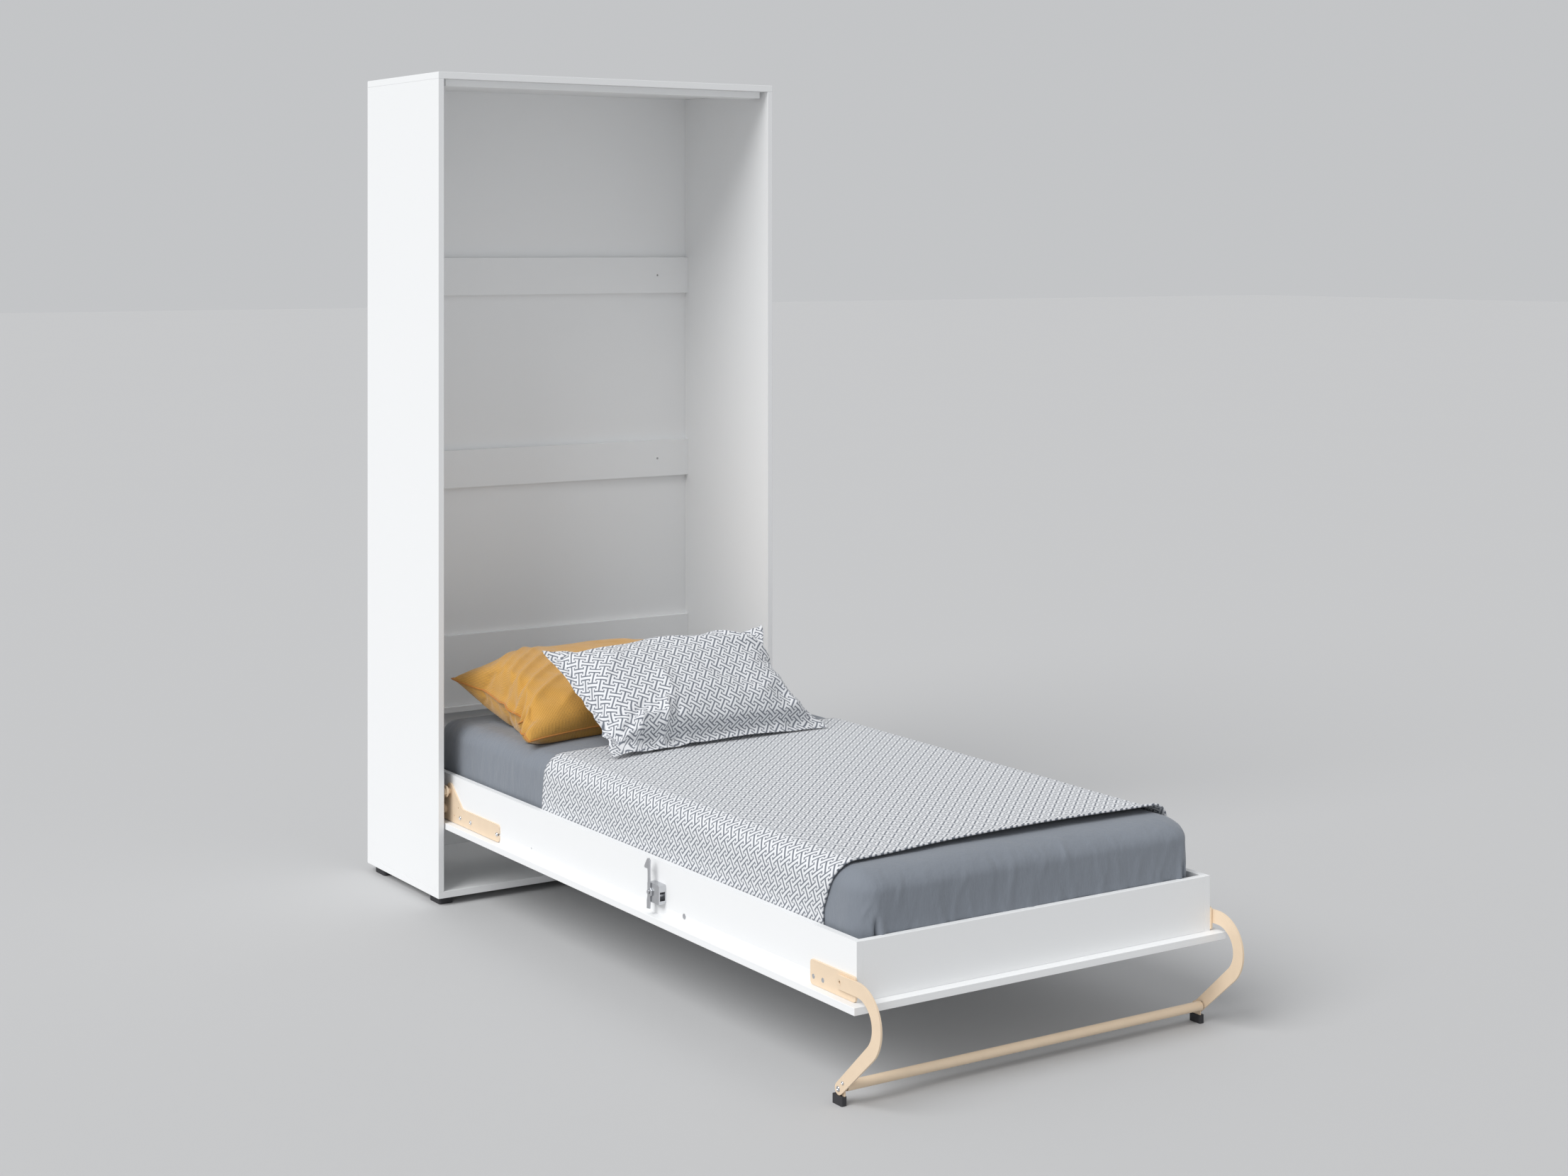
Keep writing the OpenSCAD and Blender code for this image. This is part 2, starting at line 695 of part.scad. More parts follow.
// Flat link at the end of the rod, with the bolt that pulls on the bed's bracket
module rod_link(side) {
    color(beige) on_strut(side) translate([0, 0, strut_l]) rotate([180, 0, 0]) {
        eye(link_h/2, link_h, 40, 5);
    }
    color(steel) {
        rod_x(side, bolt_y, bolt_z, rail_x + plate_t + gap, strut_x + link_t/2, 5);
        rod_x(side, bolt_y, bolt_z, strut_x + link_t/2, strut_x + link_t/2 + 4, 9);
        rod_x(side, bolt_y, bolt_z, rail_x + plate_t + gap, strut_x - link_t/2, 8);
    }
}

module rod_link_left() rod_link(LEFT);

module rod_link_right() rod_link(RIGHT);

row() left_side();
row() right_side();
row() top_panel();
row() bottom_panel();
row() back_panel();
row() upper_back_rail();
row() lower_back_rail();
row() headboard_panel();
row() headboard_batten();
row() top_stop_rail();
row() cabinet_feet();
row() side_plate_left();
row() side_plate_right();
row() pivot_pin_left();
row() pivot_pin_right();
row() strut_anchor_left();
row() strut_anchor_right();
row() latch_strike();
row() base_panel();
row() left_rail();
row() right_rail();
row() foot_board();
row() head_board();
row() slat_ledge_left();
row() slat_ledge_right();
row() center_bearer();
row() slats();
row() hinge_bracket_left();
row() hinge_bracket_right();
row() bracket_screws();
row() leg_plate_left();
row() leg_plate_right();
row() leg_plate_screws();
row() leg_pivots();
row() mattress_core();
row() mattress_top();
row() blanket();
row() white_pillow();
row() mustard_pillow();
row() latch_housing();
row() latch_pin();
row() rail_caps();
row() leg_strap_left();
row() leg_strap_right();
row() crossbar();
row() foot_link_left();
row() foot_link_right();
row() rubber_feet();
row() leg_bolts();
row() latch_lever();
row() latch_spring();
row() strut_tube_left();
row() strut_tube_right();
row() strut_rod_left();
row() strut_rod_right();
row() rod_link_left();
row() rod_link_right();
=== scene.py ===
"""Murphy wall bed: builds the finished boards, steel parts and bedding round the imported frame.

Laid out as a Blender add-on and run as a script. Every length is in metres, in the frame's own axes:
X to the right seen from the foot end, Y to the wall, Z up from the floor.
"""

import json
import math

import bmesh
import bpy
import numpy as np
from bpy.props import FloatProperty, FloatVectorProperty, PointerProperty
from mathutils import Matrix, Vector


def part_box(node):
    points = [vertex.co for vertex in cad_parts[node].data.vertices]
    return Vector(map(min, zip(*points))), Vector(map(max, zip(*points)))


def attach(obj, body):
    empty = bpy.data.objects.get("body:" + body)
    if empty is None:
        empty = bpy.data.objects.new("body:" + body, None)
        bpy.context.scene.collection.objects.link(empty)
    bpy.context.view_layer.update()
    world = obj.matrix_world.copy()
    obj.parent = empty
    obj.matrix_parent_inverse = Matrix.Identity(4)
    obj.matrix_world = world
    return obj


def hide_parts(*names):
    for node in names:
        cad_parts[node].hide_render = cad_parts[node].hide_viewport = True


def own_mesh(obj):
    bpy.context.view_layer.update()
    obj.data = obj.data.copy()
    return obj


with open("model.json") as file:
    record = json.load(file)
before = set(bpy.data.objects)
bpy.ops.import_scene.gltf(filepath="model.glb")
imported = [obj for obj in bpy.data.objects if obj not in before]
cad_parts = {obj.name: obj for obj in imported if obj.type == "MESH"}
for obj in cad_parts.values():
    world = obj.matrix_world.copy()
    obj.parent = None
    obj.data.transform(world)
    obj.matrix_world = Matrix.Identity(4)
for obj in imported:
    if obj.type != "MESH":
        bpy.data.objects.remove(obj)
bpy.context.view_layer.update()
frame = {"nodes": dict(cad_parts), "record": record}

bl_info = {
    "name": "Murphy wall bed",
    "version": (1, 0, 0),
    "blender": (4, 5, 0),
    "location": "View3D > Sidebar > Wall bed",
    "description": "Builds a fold-down wall bed with its cabinet, fittings and bedding",
    "category": "Add Mesh",
}

# Rounding of the slats' and the rubber feet's edges
TIMBER_EDGE = 0.0015
RUBBER_EDGE = 0.0012

BOARDS = ("left_side", "right_side", "top_panel", "bottom_panel", "back_panel", "upper_back_rail",
          "lower_back_rail", "headboard_panel", "headboard_batten", "top_stop_rail", "base_panel",
          "left_rail", "right_rail", "foot_board", "head_board")
TIMBER = ("slat_ledge_left", "slat_ledge_right", "center_bearer", "slats")
COATED = ("hinge_bracket_left", "hinge_bracket_right", "leg_plate_left", "leg_plate_right", "leg_pivots",
          "leg_strap_left", "leg_strap_right", "crossbar", "foot_link_left", "foot_link_right",
          "rod_link_left", "rod_link_right")
PLATED = ("rail_caps", "side_plate_left", "side_plate_right", "pivot_pin_left", "pivot_pin_right",
          "strut_anchor_left", "strut_anchor_right", "latch_strike", "latch_housing", "latch_pin",
          "latch_lever", "latch_spring")
BRIGHT = ("leg_plate_screws", "strut_rod_left", "strut_rod_right")
RUBBER = ("cabinet_feet", "rubber_feet")
STRUTS = ("strut_tube_left", "strut_tube_right")
BODY_OF = {node: body for body, nodes in frame["record"]["behaviour"]["bodies"].items() for node in nodes}


# ---- Sizes and colours that a user would change ----

def colour(name, text, value):
    """A colour setting."""
    return FloatVectorProperty(name=name, description=text, subtype="COLOR", size=3, min=0, max=1,
                               default=value)


def length(name, text, value, top):
    """A length setting from 0 to top."""
    return FloatProperty(name=name, description=text, unit="LENGTH", min=0, max=top, default=value)


class WallBedColours(bpy.types.PropertyGroup):
    board: colour("Boards", "White laminate", (0.725, 0.735, 0.752))
    coat: colour("Coated steel", "Beige powder coat", (0.83, 0.66, 0.48))
    plate: colour("Plated steel", "Zinc plating", (0.62, 0.63, 0.65))
    sheet: colour("Fitted sheet", "Grey-blue cotton", (0.205, 0.228, 0.264))
    print_light: colour("Print, light", "Ground of the lattice print", (0.80, 0.81, 0.83))
    print_dark: colour("Print, dark", "Bars of the lattice print", (0.155, 0.172, 0.205))
    mustard: colour("Mustard", "Ribbed cotton pillow", (0.66, 0.345, 0.062))
    piping: colour("Piping", "Cord sewn round the mustard pillow", (0.56, 0.22, 0.03))


class WallBedSizes(bpy.types.PropertyGroup):
    board_edge: length("Board edge", "Rounding of the boards' edge bands", 0.0009, 0.003)
    steel_edge: length("Steel edge", "Rounding of the cut steel's edges", 0.0006, 0.002)
    mattress_edge: length("Mattress edge", "Rounding of the mattress's upper edges", 0.044, 0.08)
    crown: length("Crown", "Rise of the mattress's middle over its edges", 0.008, 0.02)
    blanket_print: length("Blanket print", "Distance from bar to bar of the blanket's print", 0.0219, 0.1)
    pillow_print: length("Pillow print", "Distance from bar to bar of the pillow's print", 0.0219, 0.1)
    blanket_thick: length("Blanket", "Thickness of the blanket", 0.004, 0.01)
    flange: length("Flange", "Width of the pillow case's flat border", 0.040, 0.08)


# ---- Shapes ----

def new_piece(name, verts, faces, uv=None, smooth=True):
    """A mesh object from arrays: verts (n, 3), faces (m, 4) or (m, 3), uv one pair per vertex."""
    mesh = bpy.data.meshes.new(name)
    mesh.from_pydata(np.asarray(verts).tolist(), [], np.asarray(faces).tolist())
    if uv is not None:
        loops = np.zeros(len(mesh.loops), np.int32)
        mesh.loops.foreach_get("vertex_index", loops)
        layer = mesh.uv_layers.new(name="cloth")
        layer.data.foreach_set("uv", np.asarray(uv, np.float32)[loops].ravel())
    mesh.polygons.foreach_set("use_smooth", np.full(len(mesh.polygons), smooth))
    mesh.update()
    piece = bpy.data.objects.new(name, mesh)
    bpy.context.scene.collection.objects.link(piece)
    return piece


def place(piece, node, material, replaces=()):
    """Gives a piece its material and body, and hides the nodes it replaces. The node says which body it
    rides on.
    """
    piece.data.materials.clear()
    piece.data.materials.append(material)
    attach(piece, BODY_OF[node])
    if replaces:
        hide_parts(*replaces)
    return piece


def grid_faces(rows, cols, wrap_cols=False, wrap_rows=False, start=0):
    """Quads between neighbouring points of a rows by cols grid, numbered row by row."""
    r = np.arange(rows if wrap_rows else rows - 1)
    c = np.arange(cols if wrap_cols else cols - 1)
    r, c = np.meshgrid(r, c, indexing="ij")
    r1, c1 = (r + 1) % rows, (c + 1) % cols
    quads = np.stack([r * cols + c, r * cols + c1, r1 * cols + c1, r1 * cols + c], -1)
    return quads.reshape(-1, 4) + start


def refined(node, edge, material):
    """A copy of a CAD node with welded flat faces and its sharp edges rounded to the radius edge."""
    mesh = frame["nodes"][node].data.copy()
    work = bmesh.new()
    work.from_mesh(mesh)
    bmesh.ops.remove_doubles(work, verts=work.verts, dist=2e-6)
    bmesh.ops.dissolve_limit(work, angle_limit=math.radians(0.5), verts=work.verts, edges=work.edges)
    work.to_mesh(mesh)
    work.free()
    mesh.polygons.foreach_set("use_smooth", np.full(len(mesh.polygons), True))
    mesh.set_sharp_from_angle(angle=math.radians(32))
    piece = bpy.data.objects.new(node + "_finish", mesh)
    bpy.context.scene.collection.objects.link(piece)
    bevel = piece.modifiers.new("rounded_edges", "BEVEL")
    bevel.width = edge
    bevel.segments = 2
    bevel.limit_method = "ANGLE"
    bevel.angle_limit = math.radians(32)
    bevel.harden_normals = True
    return place(piece, node, material, replaces=(node,))


def turned(profile, centre, axis, sides=28):
    """A profile of (radius, height) pairs carried round an axis: the point at angle t and profile
    place k is centre + height_k * axis + radius_k * (cos t * u + sin t * v)."""
    axis = np.asarray(axis, float)
    u = np.cross(axis, [0, 0, 1.0] if abs(axis[2]) < 0.9 else [0, 1.0, 0])
    u /= np.linalg.norm(u)
    v = np.cross(axis, u)
    t = np.linspace(0, 2 * np.pi, sides, endpoint=False)
    ring = np.cos(t)[:, None] * u + np.sin(t)[:, None] * v
    profile = np.asarray(profile, float)
    points = (np.asarray(centre) + profile[None, :, 1, None] * axis
              + profile[None, :, 0, None] * ring[:, None, :])
    return points.reshape(-1, 3), grid_faces(sides, len(profile), wrap_rows=True)


def merged(name, parts):
    """One piece from several (verts, faces) parts."""
    verts, faces, count = [], [], 0
    for v, f in parts:
        verts.append(v)
        faces.append(f + count)
        count += len(v)
    return new_piece(name, np.concatenate(verts), np.concatenate(faces))


def weld(piece, distance=1e-6):
    """Welds a piece's doubled points and turns its faces outwards."""
    work = bmesh.new()
    work.from_mesh(piece.data)
    bmesh.ops.remove_doubles(work, verts=work.verts, dist=distance)
    degenerate = [f for f in work.faces if f.calc_area() < 1e-13]
    bmesh.ops.delete(work, geom=degenerate, context="FACES")
    bmesh.ops.recalc_face_normals(work, faces=work.faces)
    work.to_mesh(piece.data)
    work.free()


def islands(node):
    """Centres and sizes of a node's separate solids, as two arrays, from its welded mesh."""
    work = bmesh.new()
    work.from_mesh(frame["nodes"][node].data)
    bmesh.ops.remove_doubles(work, verts=work.verts, dist=2e-6)
    left, boxes = set(work.verts), []
    while left:
        group, edge = set(), {left.pop()}
        while edge:
            group |= edge
            edge = {e.other_vert(v) for v in edge for e in v.link_edges} - group
        left -= group
        co = np.array([v.co for v in group])
        boxes.append((co.min(0), co.max(0)))
    work.free()
    low, high = np.array([b[0] for b in boxes]), np.array([b[1] for b in boxes])
    return (low + high) / 2, high - low


def box_shell(xs, ys, zs):
    """The surface of a box as one welded quad grid, with lines at the given coordinates."""
    nx, ny, nz = len(xs), len(ys), len(zs)
    skin = np.zeros((nx, ny, nz), bool)
    skin[[0, -1]] = skin[:, [0, -1]] = skin[:, :, [0, -1]] = True
    number = np.full(skin.shape, -1)
    number[skin] = np.arange(skin.sum())
    x, y, z = np.meshgrid(xs, ys, zs, indexing="ij")
    verts = np.stack([x[skin], y[skin], z[skin]], -1)

    def side(plane, flip):
        quads = np.stack([plane[:-1, :-1], plane[1:, :-1], plane[1:, 1:], plane[:-1, 1:]], -1)
        quads = quads.reshape(-1, 4)
        return quads[:, ::-1] if flip else quads

    faces = [side(number[0], True), side(number[-1], False), side(number[:, 0], False),
             side(number[:, -1], True), side(number[:, :, 0], True), side(number[:, :, -1], False)]
    return verts, np.concatenate(faces)


def smooth_step(x, a, b):
    """0 below a, 1 above b, and 3 t^2 - 2 t^3 between them."""
    t = np.clip((x - a) / (b - a), 0, 1)
    return t * t * (3 - 2 * t)


def value_noise(x, y, seed, cells=64):
    """Smooth noise from -1 to 1: random values on a grid, blended with a smooth step between them."""
    table = np.random.default_rng(seed).uniform(-1, 1, (cells, cells))
    i, j = np.floor(x).astype(int), np.floor(y).astype(int)
    s, t = smooth_step(x - i, 0, 1), smooth_step(y - j, 0, 1)
    a, b = table[i % cells, j % cells], table[(i + 1) % cells, j % cells]
    c, d = table[i % cells, (j + 1) % cells], table[(i + 1) % cells, (j + 1) % cells]
    return (a * (1 - s) + b * s) * (1 - t) + (c * (1 - s) + d * s) * t


# ---- Materials ----

BRIGHT_METAL = (0.72, 0.73, 0.75)


class Finish:
    """A Principled material with short calls for the nodes that a finish needs."""

    def __init__(self, name, base, roughness, **sockets):
        self.material = bpy.data.materials.new(name)
        self.material.use_nodes = True
        self.nodes, self.links = self.material.node_tree.nodes, self.material.node_tree.links
        self.shader = self.nodes["Principled BSDF"]
        self.shader.inputs["Base Color"].default_value = (*base, 1)
        self.shader.inputs["Roughness"].default_value = roughness
        for socket, value in sockets.items():
            self.shader.inputs[socket.replace("_", " ").title().replace("Ior", "IOR")].default_value = value
        self.coord = self.nodes.new("ShaderNodeTexCoord")

    def node(self, kind, *inputs, **settings):
        """A shader node whose inputs, in order, are numbers or the outputs of other nodes."""
        made = self.nodes.new(kind)
        for key, value in settings.items():
            setattr(made, key, value)
        for socket, value in zip(made.inputs, inputs):
            if value is None:
                continue
            if isinstance(value, bpy.types.NodeSocket):
                self.links.new(value, socket)
            else:
                socket.default_value = value
        return made

    def math(self, operation, a, b=0.0, c=None):
        """The output of one Math node."""
        return self.node("ShaderNodeMath", a, b, c, operation=operation).outputs[0]

    def where(self, scale=(1, 1, 1), turn=(0, 0, 0), source="Object"):
        """The place on the piece, in its own metres or in its cloth map's metres."""
        return self.node("ShaderNodeMapping", self.coord.outputs[source], None, turn, scale).outputs[0]

    def noise(self, vector, scale, detail=3.0, rough=0.5):
        """Soft noise from 0 to 1 with scale lumps to the metre."""
        made = self.node("ShaderNodeTexNoise")
        self.links.new(vector, made.inputs["Vector"])
        made.inputs["Scale"].default_value = scale
        made.inputs["Detail"].default_value = detail
        made.inputs["Roughness"].default_value = rough
        return made.outputs["Fac"]

    def spread(self, value, low, high, a=0.0, b=1.0):
        """The value's range from a to b, carried to the range from low to high."""
        return self.node("ShaderNodeMapRange", value, a, b, low, high).outputs[0]

    def mix(self, factor, a, b):
        """A colour between a and b."""
        made = self.nodes.new("ShaderNodeMix")
        made.data_type = "RGBA"
        for index, value in ((0, factor), (6, a), (7, b)):
            if isinstance(value, bpy.types.NodeSocket):
                self.links.new(value, made.inputs[index])
            else:
                made.inputs[index].default_value = (*value, 1) if index else value
        return made.outputs[2]

    def bump(self, height, depth, strength=1.0, normal=None):
        """A bump of the given depth, laid over another one if that is given as normal."""
        made = self.nodes.new("ShaderNodeBump")
        made.inputs["Strength"].default_value = strength
        made.inputs["Distance"].default_value = depth
        self.links.new(height, made.inputs["Height"])
        if normal is not None:
            self.links.new(normal, made.inputs["Normal"])
        return made.outputs["Normal"]

    def to(self, socket, value):
        """Leads a node's output to one of the shader's sockets."""
        self.links.new(value, self.shader.inputs[socket])
        return self


def shade(base, k):
    """The colour base made lighter or darker by the factor k."""
    return tuple(min(1.0, c * k) for c in base)


def laminate(base):
    """White melamine: a faint orange-peel bump and patches of slightly different gloss."""
    f = Finish("white_laminate", base, 0.34, specular_ior_level=0.42)
    where = f.where()
    f.to("Base Color", f.mix(f.noise(where, 3.0), shade(base, 0.985), shade(base, 1.01)))
    f.to("Roughness", f.spread(f.noise(where, 90.0), 0.29, 0.41))
    f.to("Normal", f.bump(f.noise(where, 900.0, 2.0), 0.00006, 0.35))
    return f.material


def powder_coat(base):
    """Beige powder coat: fine pebbled bump, slight mottling of the colour."""
    f = Finish("beige_powder_coat", base, 0.44, specular_ior_level=0.5)
    where = f.where()
    f.to("Base Color", f.mix(f.noise(where, 35.0), shade(base, 0.95), shade(base, 1.04)))
    f.to("Roughness", f.spread(f.noise(where, 260.0), 0.36, 0.52))
    f.to("Normal", f.bump(f.noise(where, 1500.0, 2.0), 0.0001, 0.5))
    return f.material


def plating(name, base, rough, grain=(1, 1, 14)):
    """Plated steel: metal with fine drawn lines in its gloss and its bump."""
    f = Finish(name, base, rough, metallic=1.0)
    lines = f.noise(f.where(scale=grain), 420.0, 4.0)
    f.to("Roughness", f.spread(lines, rough * 0.75, rough * 1.35))
    f.to("Base Color", f.mix(f.noise(f.where(), 60.0), shade(base, 0.9), shade(base, 1.05)))
    f.to("Normal", f.bump(lines, 0.00005, 0.4))
    return f.material


def rubber(name="black_rubber", base=(0.03, 0.031, 0.034), rough=0.62):
    """Moulded rubber: fine pitted bump and scuffed gloss."""
    f = Finish(name, base, rough, specular_ior_level=0.4)
    where = f.where()
    f.to("Base Color", f.mix(f.noise(where, 70.0, 5.0), base, shade(base, 1.9)))
    f.to("Roughness", f.spread(f.noise(where, 120.0), rough - 0.1, rough + 0.12))
    f.to("Normal", f.bump(f.noise(where, 1300.0), 0.0002, 0.5))
    return f.material


def gloss_paint(base=(0.02, 0.021, 0.023)):
    """Black stoved paint of the struts, with a clear coat."""
    f = Finish("strut_paint", base, 0.3, coat_weight=0.4, coat_roughness=0.12)
    where = f.where()
    f.to("Base Color", f.mix(f.noise(where, 50.0), base, shade(base, 1.7)))
    f.to("Roughness", f.spread(f.noise(where, 200.0), 0.24, 0.4))
    return f.material


def timber(base=(0.70, 0.52, 0.32)):
    """Lacquered beech: long grain lines and slow changes of tone along each slat."""
    f = Finish("beech", base, 0.45)
    grain = f.noise(f.where(scale=(1.2, 26, 26)), 9.0, 8.0, 0.6)
    f.to("Base Color", f.mix(f.spread(grain, 0.0, 1.0, 0.35, 0.68), shade(base, 0.62), shade(base, 1.12)))
    f.to("Roughness", f.spread(grain, 0.36, 0.55))
    f.to("Normal", f.bump(grain, 0.0003, 0.3))
    return f.material


def weave(f, where, pitch):
    """Height of a plain weave: two crossed waves, one thread over and one under."""
    parts = f.node("ShaderNodeSeparateXYZ", where)
    turns = 2 * math.pi / pitch
    a = f.math("SINE", f.math("MULTIPLY", parts.outputs[0], turns))
    b = f.math("SINE", f.math("MULTIPLY", parts.outputs[1], turns))
    c = f.math("SINE", f.math("MULTIPLY", parts.outputs[2], turns))
    return f.math("ADD", f.math("MULTIPLY", a, b), f.math("MULTIPLY", b, c))


def sheet_cloth(base):
    """Grey-blue cotton: a fine weave, soft creases of two sizes, and a light nap."""
    f = Finish("fitted_sheet", base, 0.82, sheen_weight=0.25, sheen_roughness=0.5)
    where = f.where()
    slow = f.noise(where, 5.0, 2.0)
    f.to("Base Color", f.mix(slow, shade(base, 0.93), shade(base, 1.08)))
    creases = f.noise(f.where(scale=(1.0, 1.0, 0.35), turn=(0.2, 0.1, 0.3)), 26.0, 5.0, 0.55)
    threads = weave(f, where, 0.0011)
    soft = f.bump(creases, 0.006, 0.8)
    f.to("Normal", f.bump(threads, 0.00012, 0.35, soft))
    f.to("Roughness", f.spread(slow, 0.76, 0.9))
    return f.material


def hooked_bar(f, p, q, stem=0.09, reach=0.773, cap=0.08, cap_half=0.675, hook=0.60, hook_half=0.072):
    """Distance to a bar shaped like an I with hooked ends: a stem along q, a cap across each end, and
    a short hook that turns back from each end of a cap. Negative inside, in steps of the lattice."""
    ap, aq = f.math("ABSOLUTE", p), f.math("ABSOLUTE", q)
    body = f.math("MAXIMUM", f.math("SUBTRACT", aq, reach), f.math("SUBTRACT", ap, stem))
    end = f.math("SUBTRACT", f.math("ABSOLUTE", f.math("SUBTRACT", aq, reach)), cap)
    end = f.math("MAXIMUM", end, f.math("SUBTRACT", ap, cap_half))
    turn = f.math("SUBTRACT", f.math("ABSOLUTE", f.math("SUBTRACT", ap, hook)), hook_half)
    along = f.math("ABSOLUTE", f.math("SUBTRACT", aq, reach - 0.11))
    turn = f.math("MAXIMUM", turn, f.math("SUBTRACT", along, 0.13))
    return f.math("MINIMUM", body, f.math("MINIMUM", end, turn))


def lattice_print(name, light, dark, step, turn):
    """Printed cotton: thin hooked bars on a light ground, one on every second point of a square
    lattice, so that each bar's caps reach between its neighbours' stems. The pattern follows the
    piece's own UV map, in metres."""
    f = Finish(name, light, 0.85, sheen_weight=0.2, sheen_roughness=0.5)
    parts = f.node("ShaderNodeSeparateXYZ", f.where((1 / step,) * 3, (0, 0, turn), "UV"))
    p, q = parts.outputs[0], parts.outputs[1]

    def nearest(value, offset):
        """The distance from the closest point of every second line, from -1 to 1."""
        half = f.math("MULTIPLY", f.math("SUBTRACT", value, offset), 0.5)
        return f.math("MULTIPLY", f.math("SUBTRACT", half, f.math("ROUND", half)), 2.0)

    even = hooked_bar(f, nearest(p, 0.0), nearest(q, 0.0))
    odd = hooked_bar(f, nearest(p, 1.0), nearest(q, 1.0))
    ground = f.spread(f.math("MINIMUM", even, odd), 1.0, 0.0, -0.035, 0.035)
    where = f.where(source="UV")
    tone = f.noise(where, 700.0, 2.0)
    f.to("Base Color", f.mix(ground, f.mix(tone, shade(light, 0.96), shade(light, 1.03)),
                             f.mix(tone, shade(dark, 0.85), shade(dark, 1.15))))
    soft = f.noise(f.where(source="UV"), 22.0, 4.0, 0.5)
    f.to("Normal", f.bump(weave(f, f.where(), 0.0011), 0.0001, 0.3, f.bump(soft, 0.003, 0.35)))
    f.to("Roughness", f.spread(tone, 0.8, 0.9))
    return f.material


def ribbed_cloth(base):
    """Mustard cotton: ribs along the pillow with cross threads, uneven dye, and a soft nap; the grooves
    between the ribs and threads are painted darker, as painted shade. The ribs follow the piece's own UV
    map, in metres."""
    f = Finish("mustard_cotton", base, 0.86, sheen_weight=0.4, sheen_roughness=0.45)
    uv = f.node("ShaderNodeSeparateXYZ", f.where(source="UV"))
    wobble = f.noise(f.where(source="UV"), 60.0, 2.0)
    ribs = f.math("SINE", f.math("MULTIPLY_ADD", uv.outputs[0], 2 * math.pi / 0.0042,
                                 f.math("MULTIPLY", wobble, 2.2)))
    rows = f.math("SINE", f.math("MULTIPLY_ADD", uv.outputs[1], 2 * math.pi / 0.0031,
                                 f.math("MULTIPLY", wobble, 2.0)))
    height = f.math("MULTIPLY_ADD", rows, 0.35, ribs)
    tone = f.noise(f.where(source="UV"), 14.0, 4.0, 0.6)
    # painted shade: where the ribs and cross threads dip, the colour is mixed darker, as if shade lay in
    # the grooves
    threads = f.spread(height, 0.0, 1.0, -1.1, 1.1)
    f.to("Base Color", f.mix(threads, f.mix(tone, shade(base, 0.66), shade(base, 0.82)),
                             f.mix(tone, shade(base, 0.98), shade(base, 1.22))))
    f.to("Normal", f.bump(height, 0.0006, 0.5, f.bump(tone, 0.004, 0.3)))
    f.to("Roughness", f.spread(tone, 0.8, 0.92))
    return f.material


def piping_cloth(base):
    """Twisted cord under cotton: one fine noise gives the cord's bump and paints its low places darker, as
    painted shade.
    """
    f = Finish("piping_cotton", base, 0.85, sheen_weight=0.3)
    cord_relief_and_shade = f.noise(f.where(scale=(1, 1, 1)), 500.0, 2.0)
    # painted shade: the colour is mixed darker where the cord's bump is low
    f.to("Base Color", f.mix(cord_relief_and_shade, shade(base, 0.7), shade(base, 1.15)))
    f.to("Normal", f.bump(cord_relief_and_shade, 0.0004, 0.6))
    return f.material


# ---- Bedding ----

# Level and plan of the mattress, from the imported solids
MAT_LOW, MAT_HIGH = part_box("mattress_core")[0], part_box("mattress_top")[1]
BLANKET_LOW, BLANKET_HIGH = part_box("blanket")
RAIL_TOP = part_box("left_rail")[1].z
# The mattress's ends are rounder than its sides, by this factor
FOOT_ROUNDER = 1.65
# Clearance of the blanket's inner face over the mattress, and how far its drops are tucked in
BLANKET_LIFT = 0.0035
BLANKET_TUCK = 0.012


def mattress_top_z(x, y):
    """Height of the mattress's top: level edges with a low crown that fades to all four sides."""
    sizes = bpy.context.scene.wall_bed_sizes
    half_w = (MAT_HIGH.x - MAT_LOW.x) / 2
    half_l = (MAT_HIGH.y - MAT_LOW.y) / 2
    mid_y = (MAT_HIGH.y + MAT_LOW.y) / 2
    u, v = np.clip(np.abs(x) / half_w, 0, 1), np.clip(np.abs(y - mid_y) / half_l, 0, 1)
    return MAT_HIGH.z - sizes.crown + sizes.crown * (1 - u ** 2) * (1 - v ** 6)


def creases(s, z, count, seed, span_s, span_z, deep, wide):
    """Thin raised folds: each is a bell across its slanting line and a longer bell along it."""
    rng = np.random.default_rng(seed)
    height = np.zeros_like(s)
    for _ in range(count):
        s0, z0 = rng.uniform(*span_s), rng.uniform(*span_z)
        lean, w, l = rng.uniform(-0.7, 0.5), rng.uniform(*wide), rng.uniform(0.02, 0.07)
        a = rng.uniform(*deep) * rng.choice([1, 1, -0.7])
        off = (s - s0) - lean * (z - z0)
        height += a * np.exp(-(off / w) ** 2) * np.exp(-((z - z0) / l) ** 2)
    return height


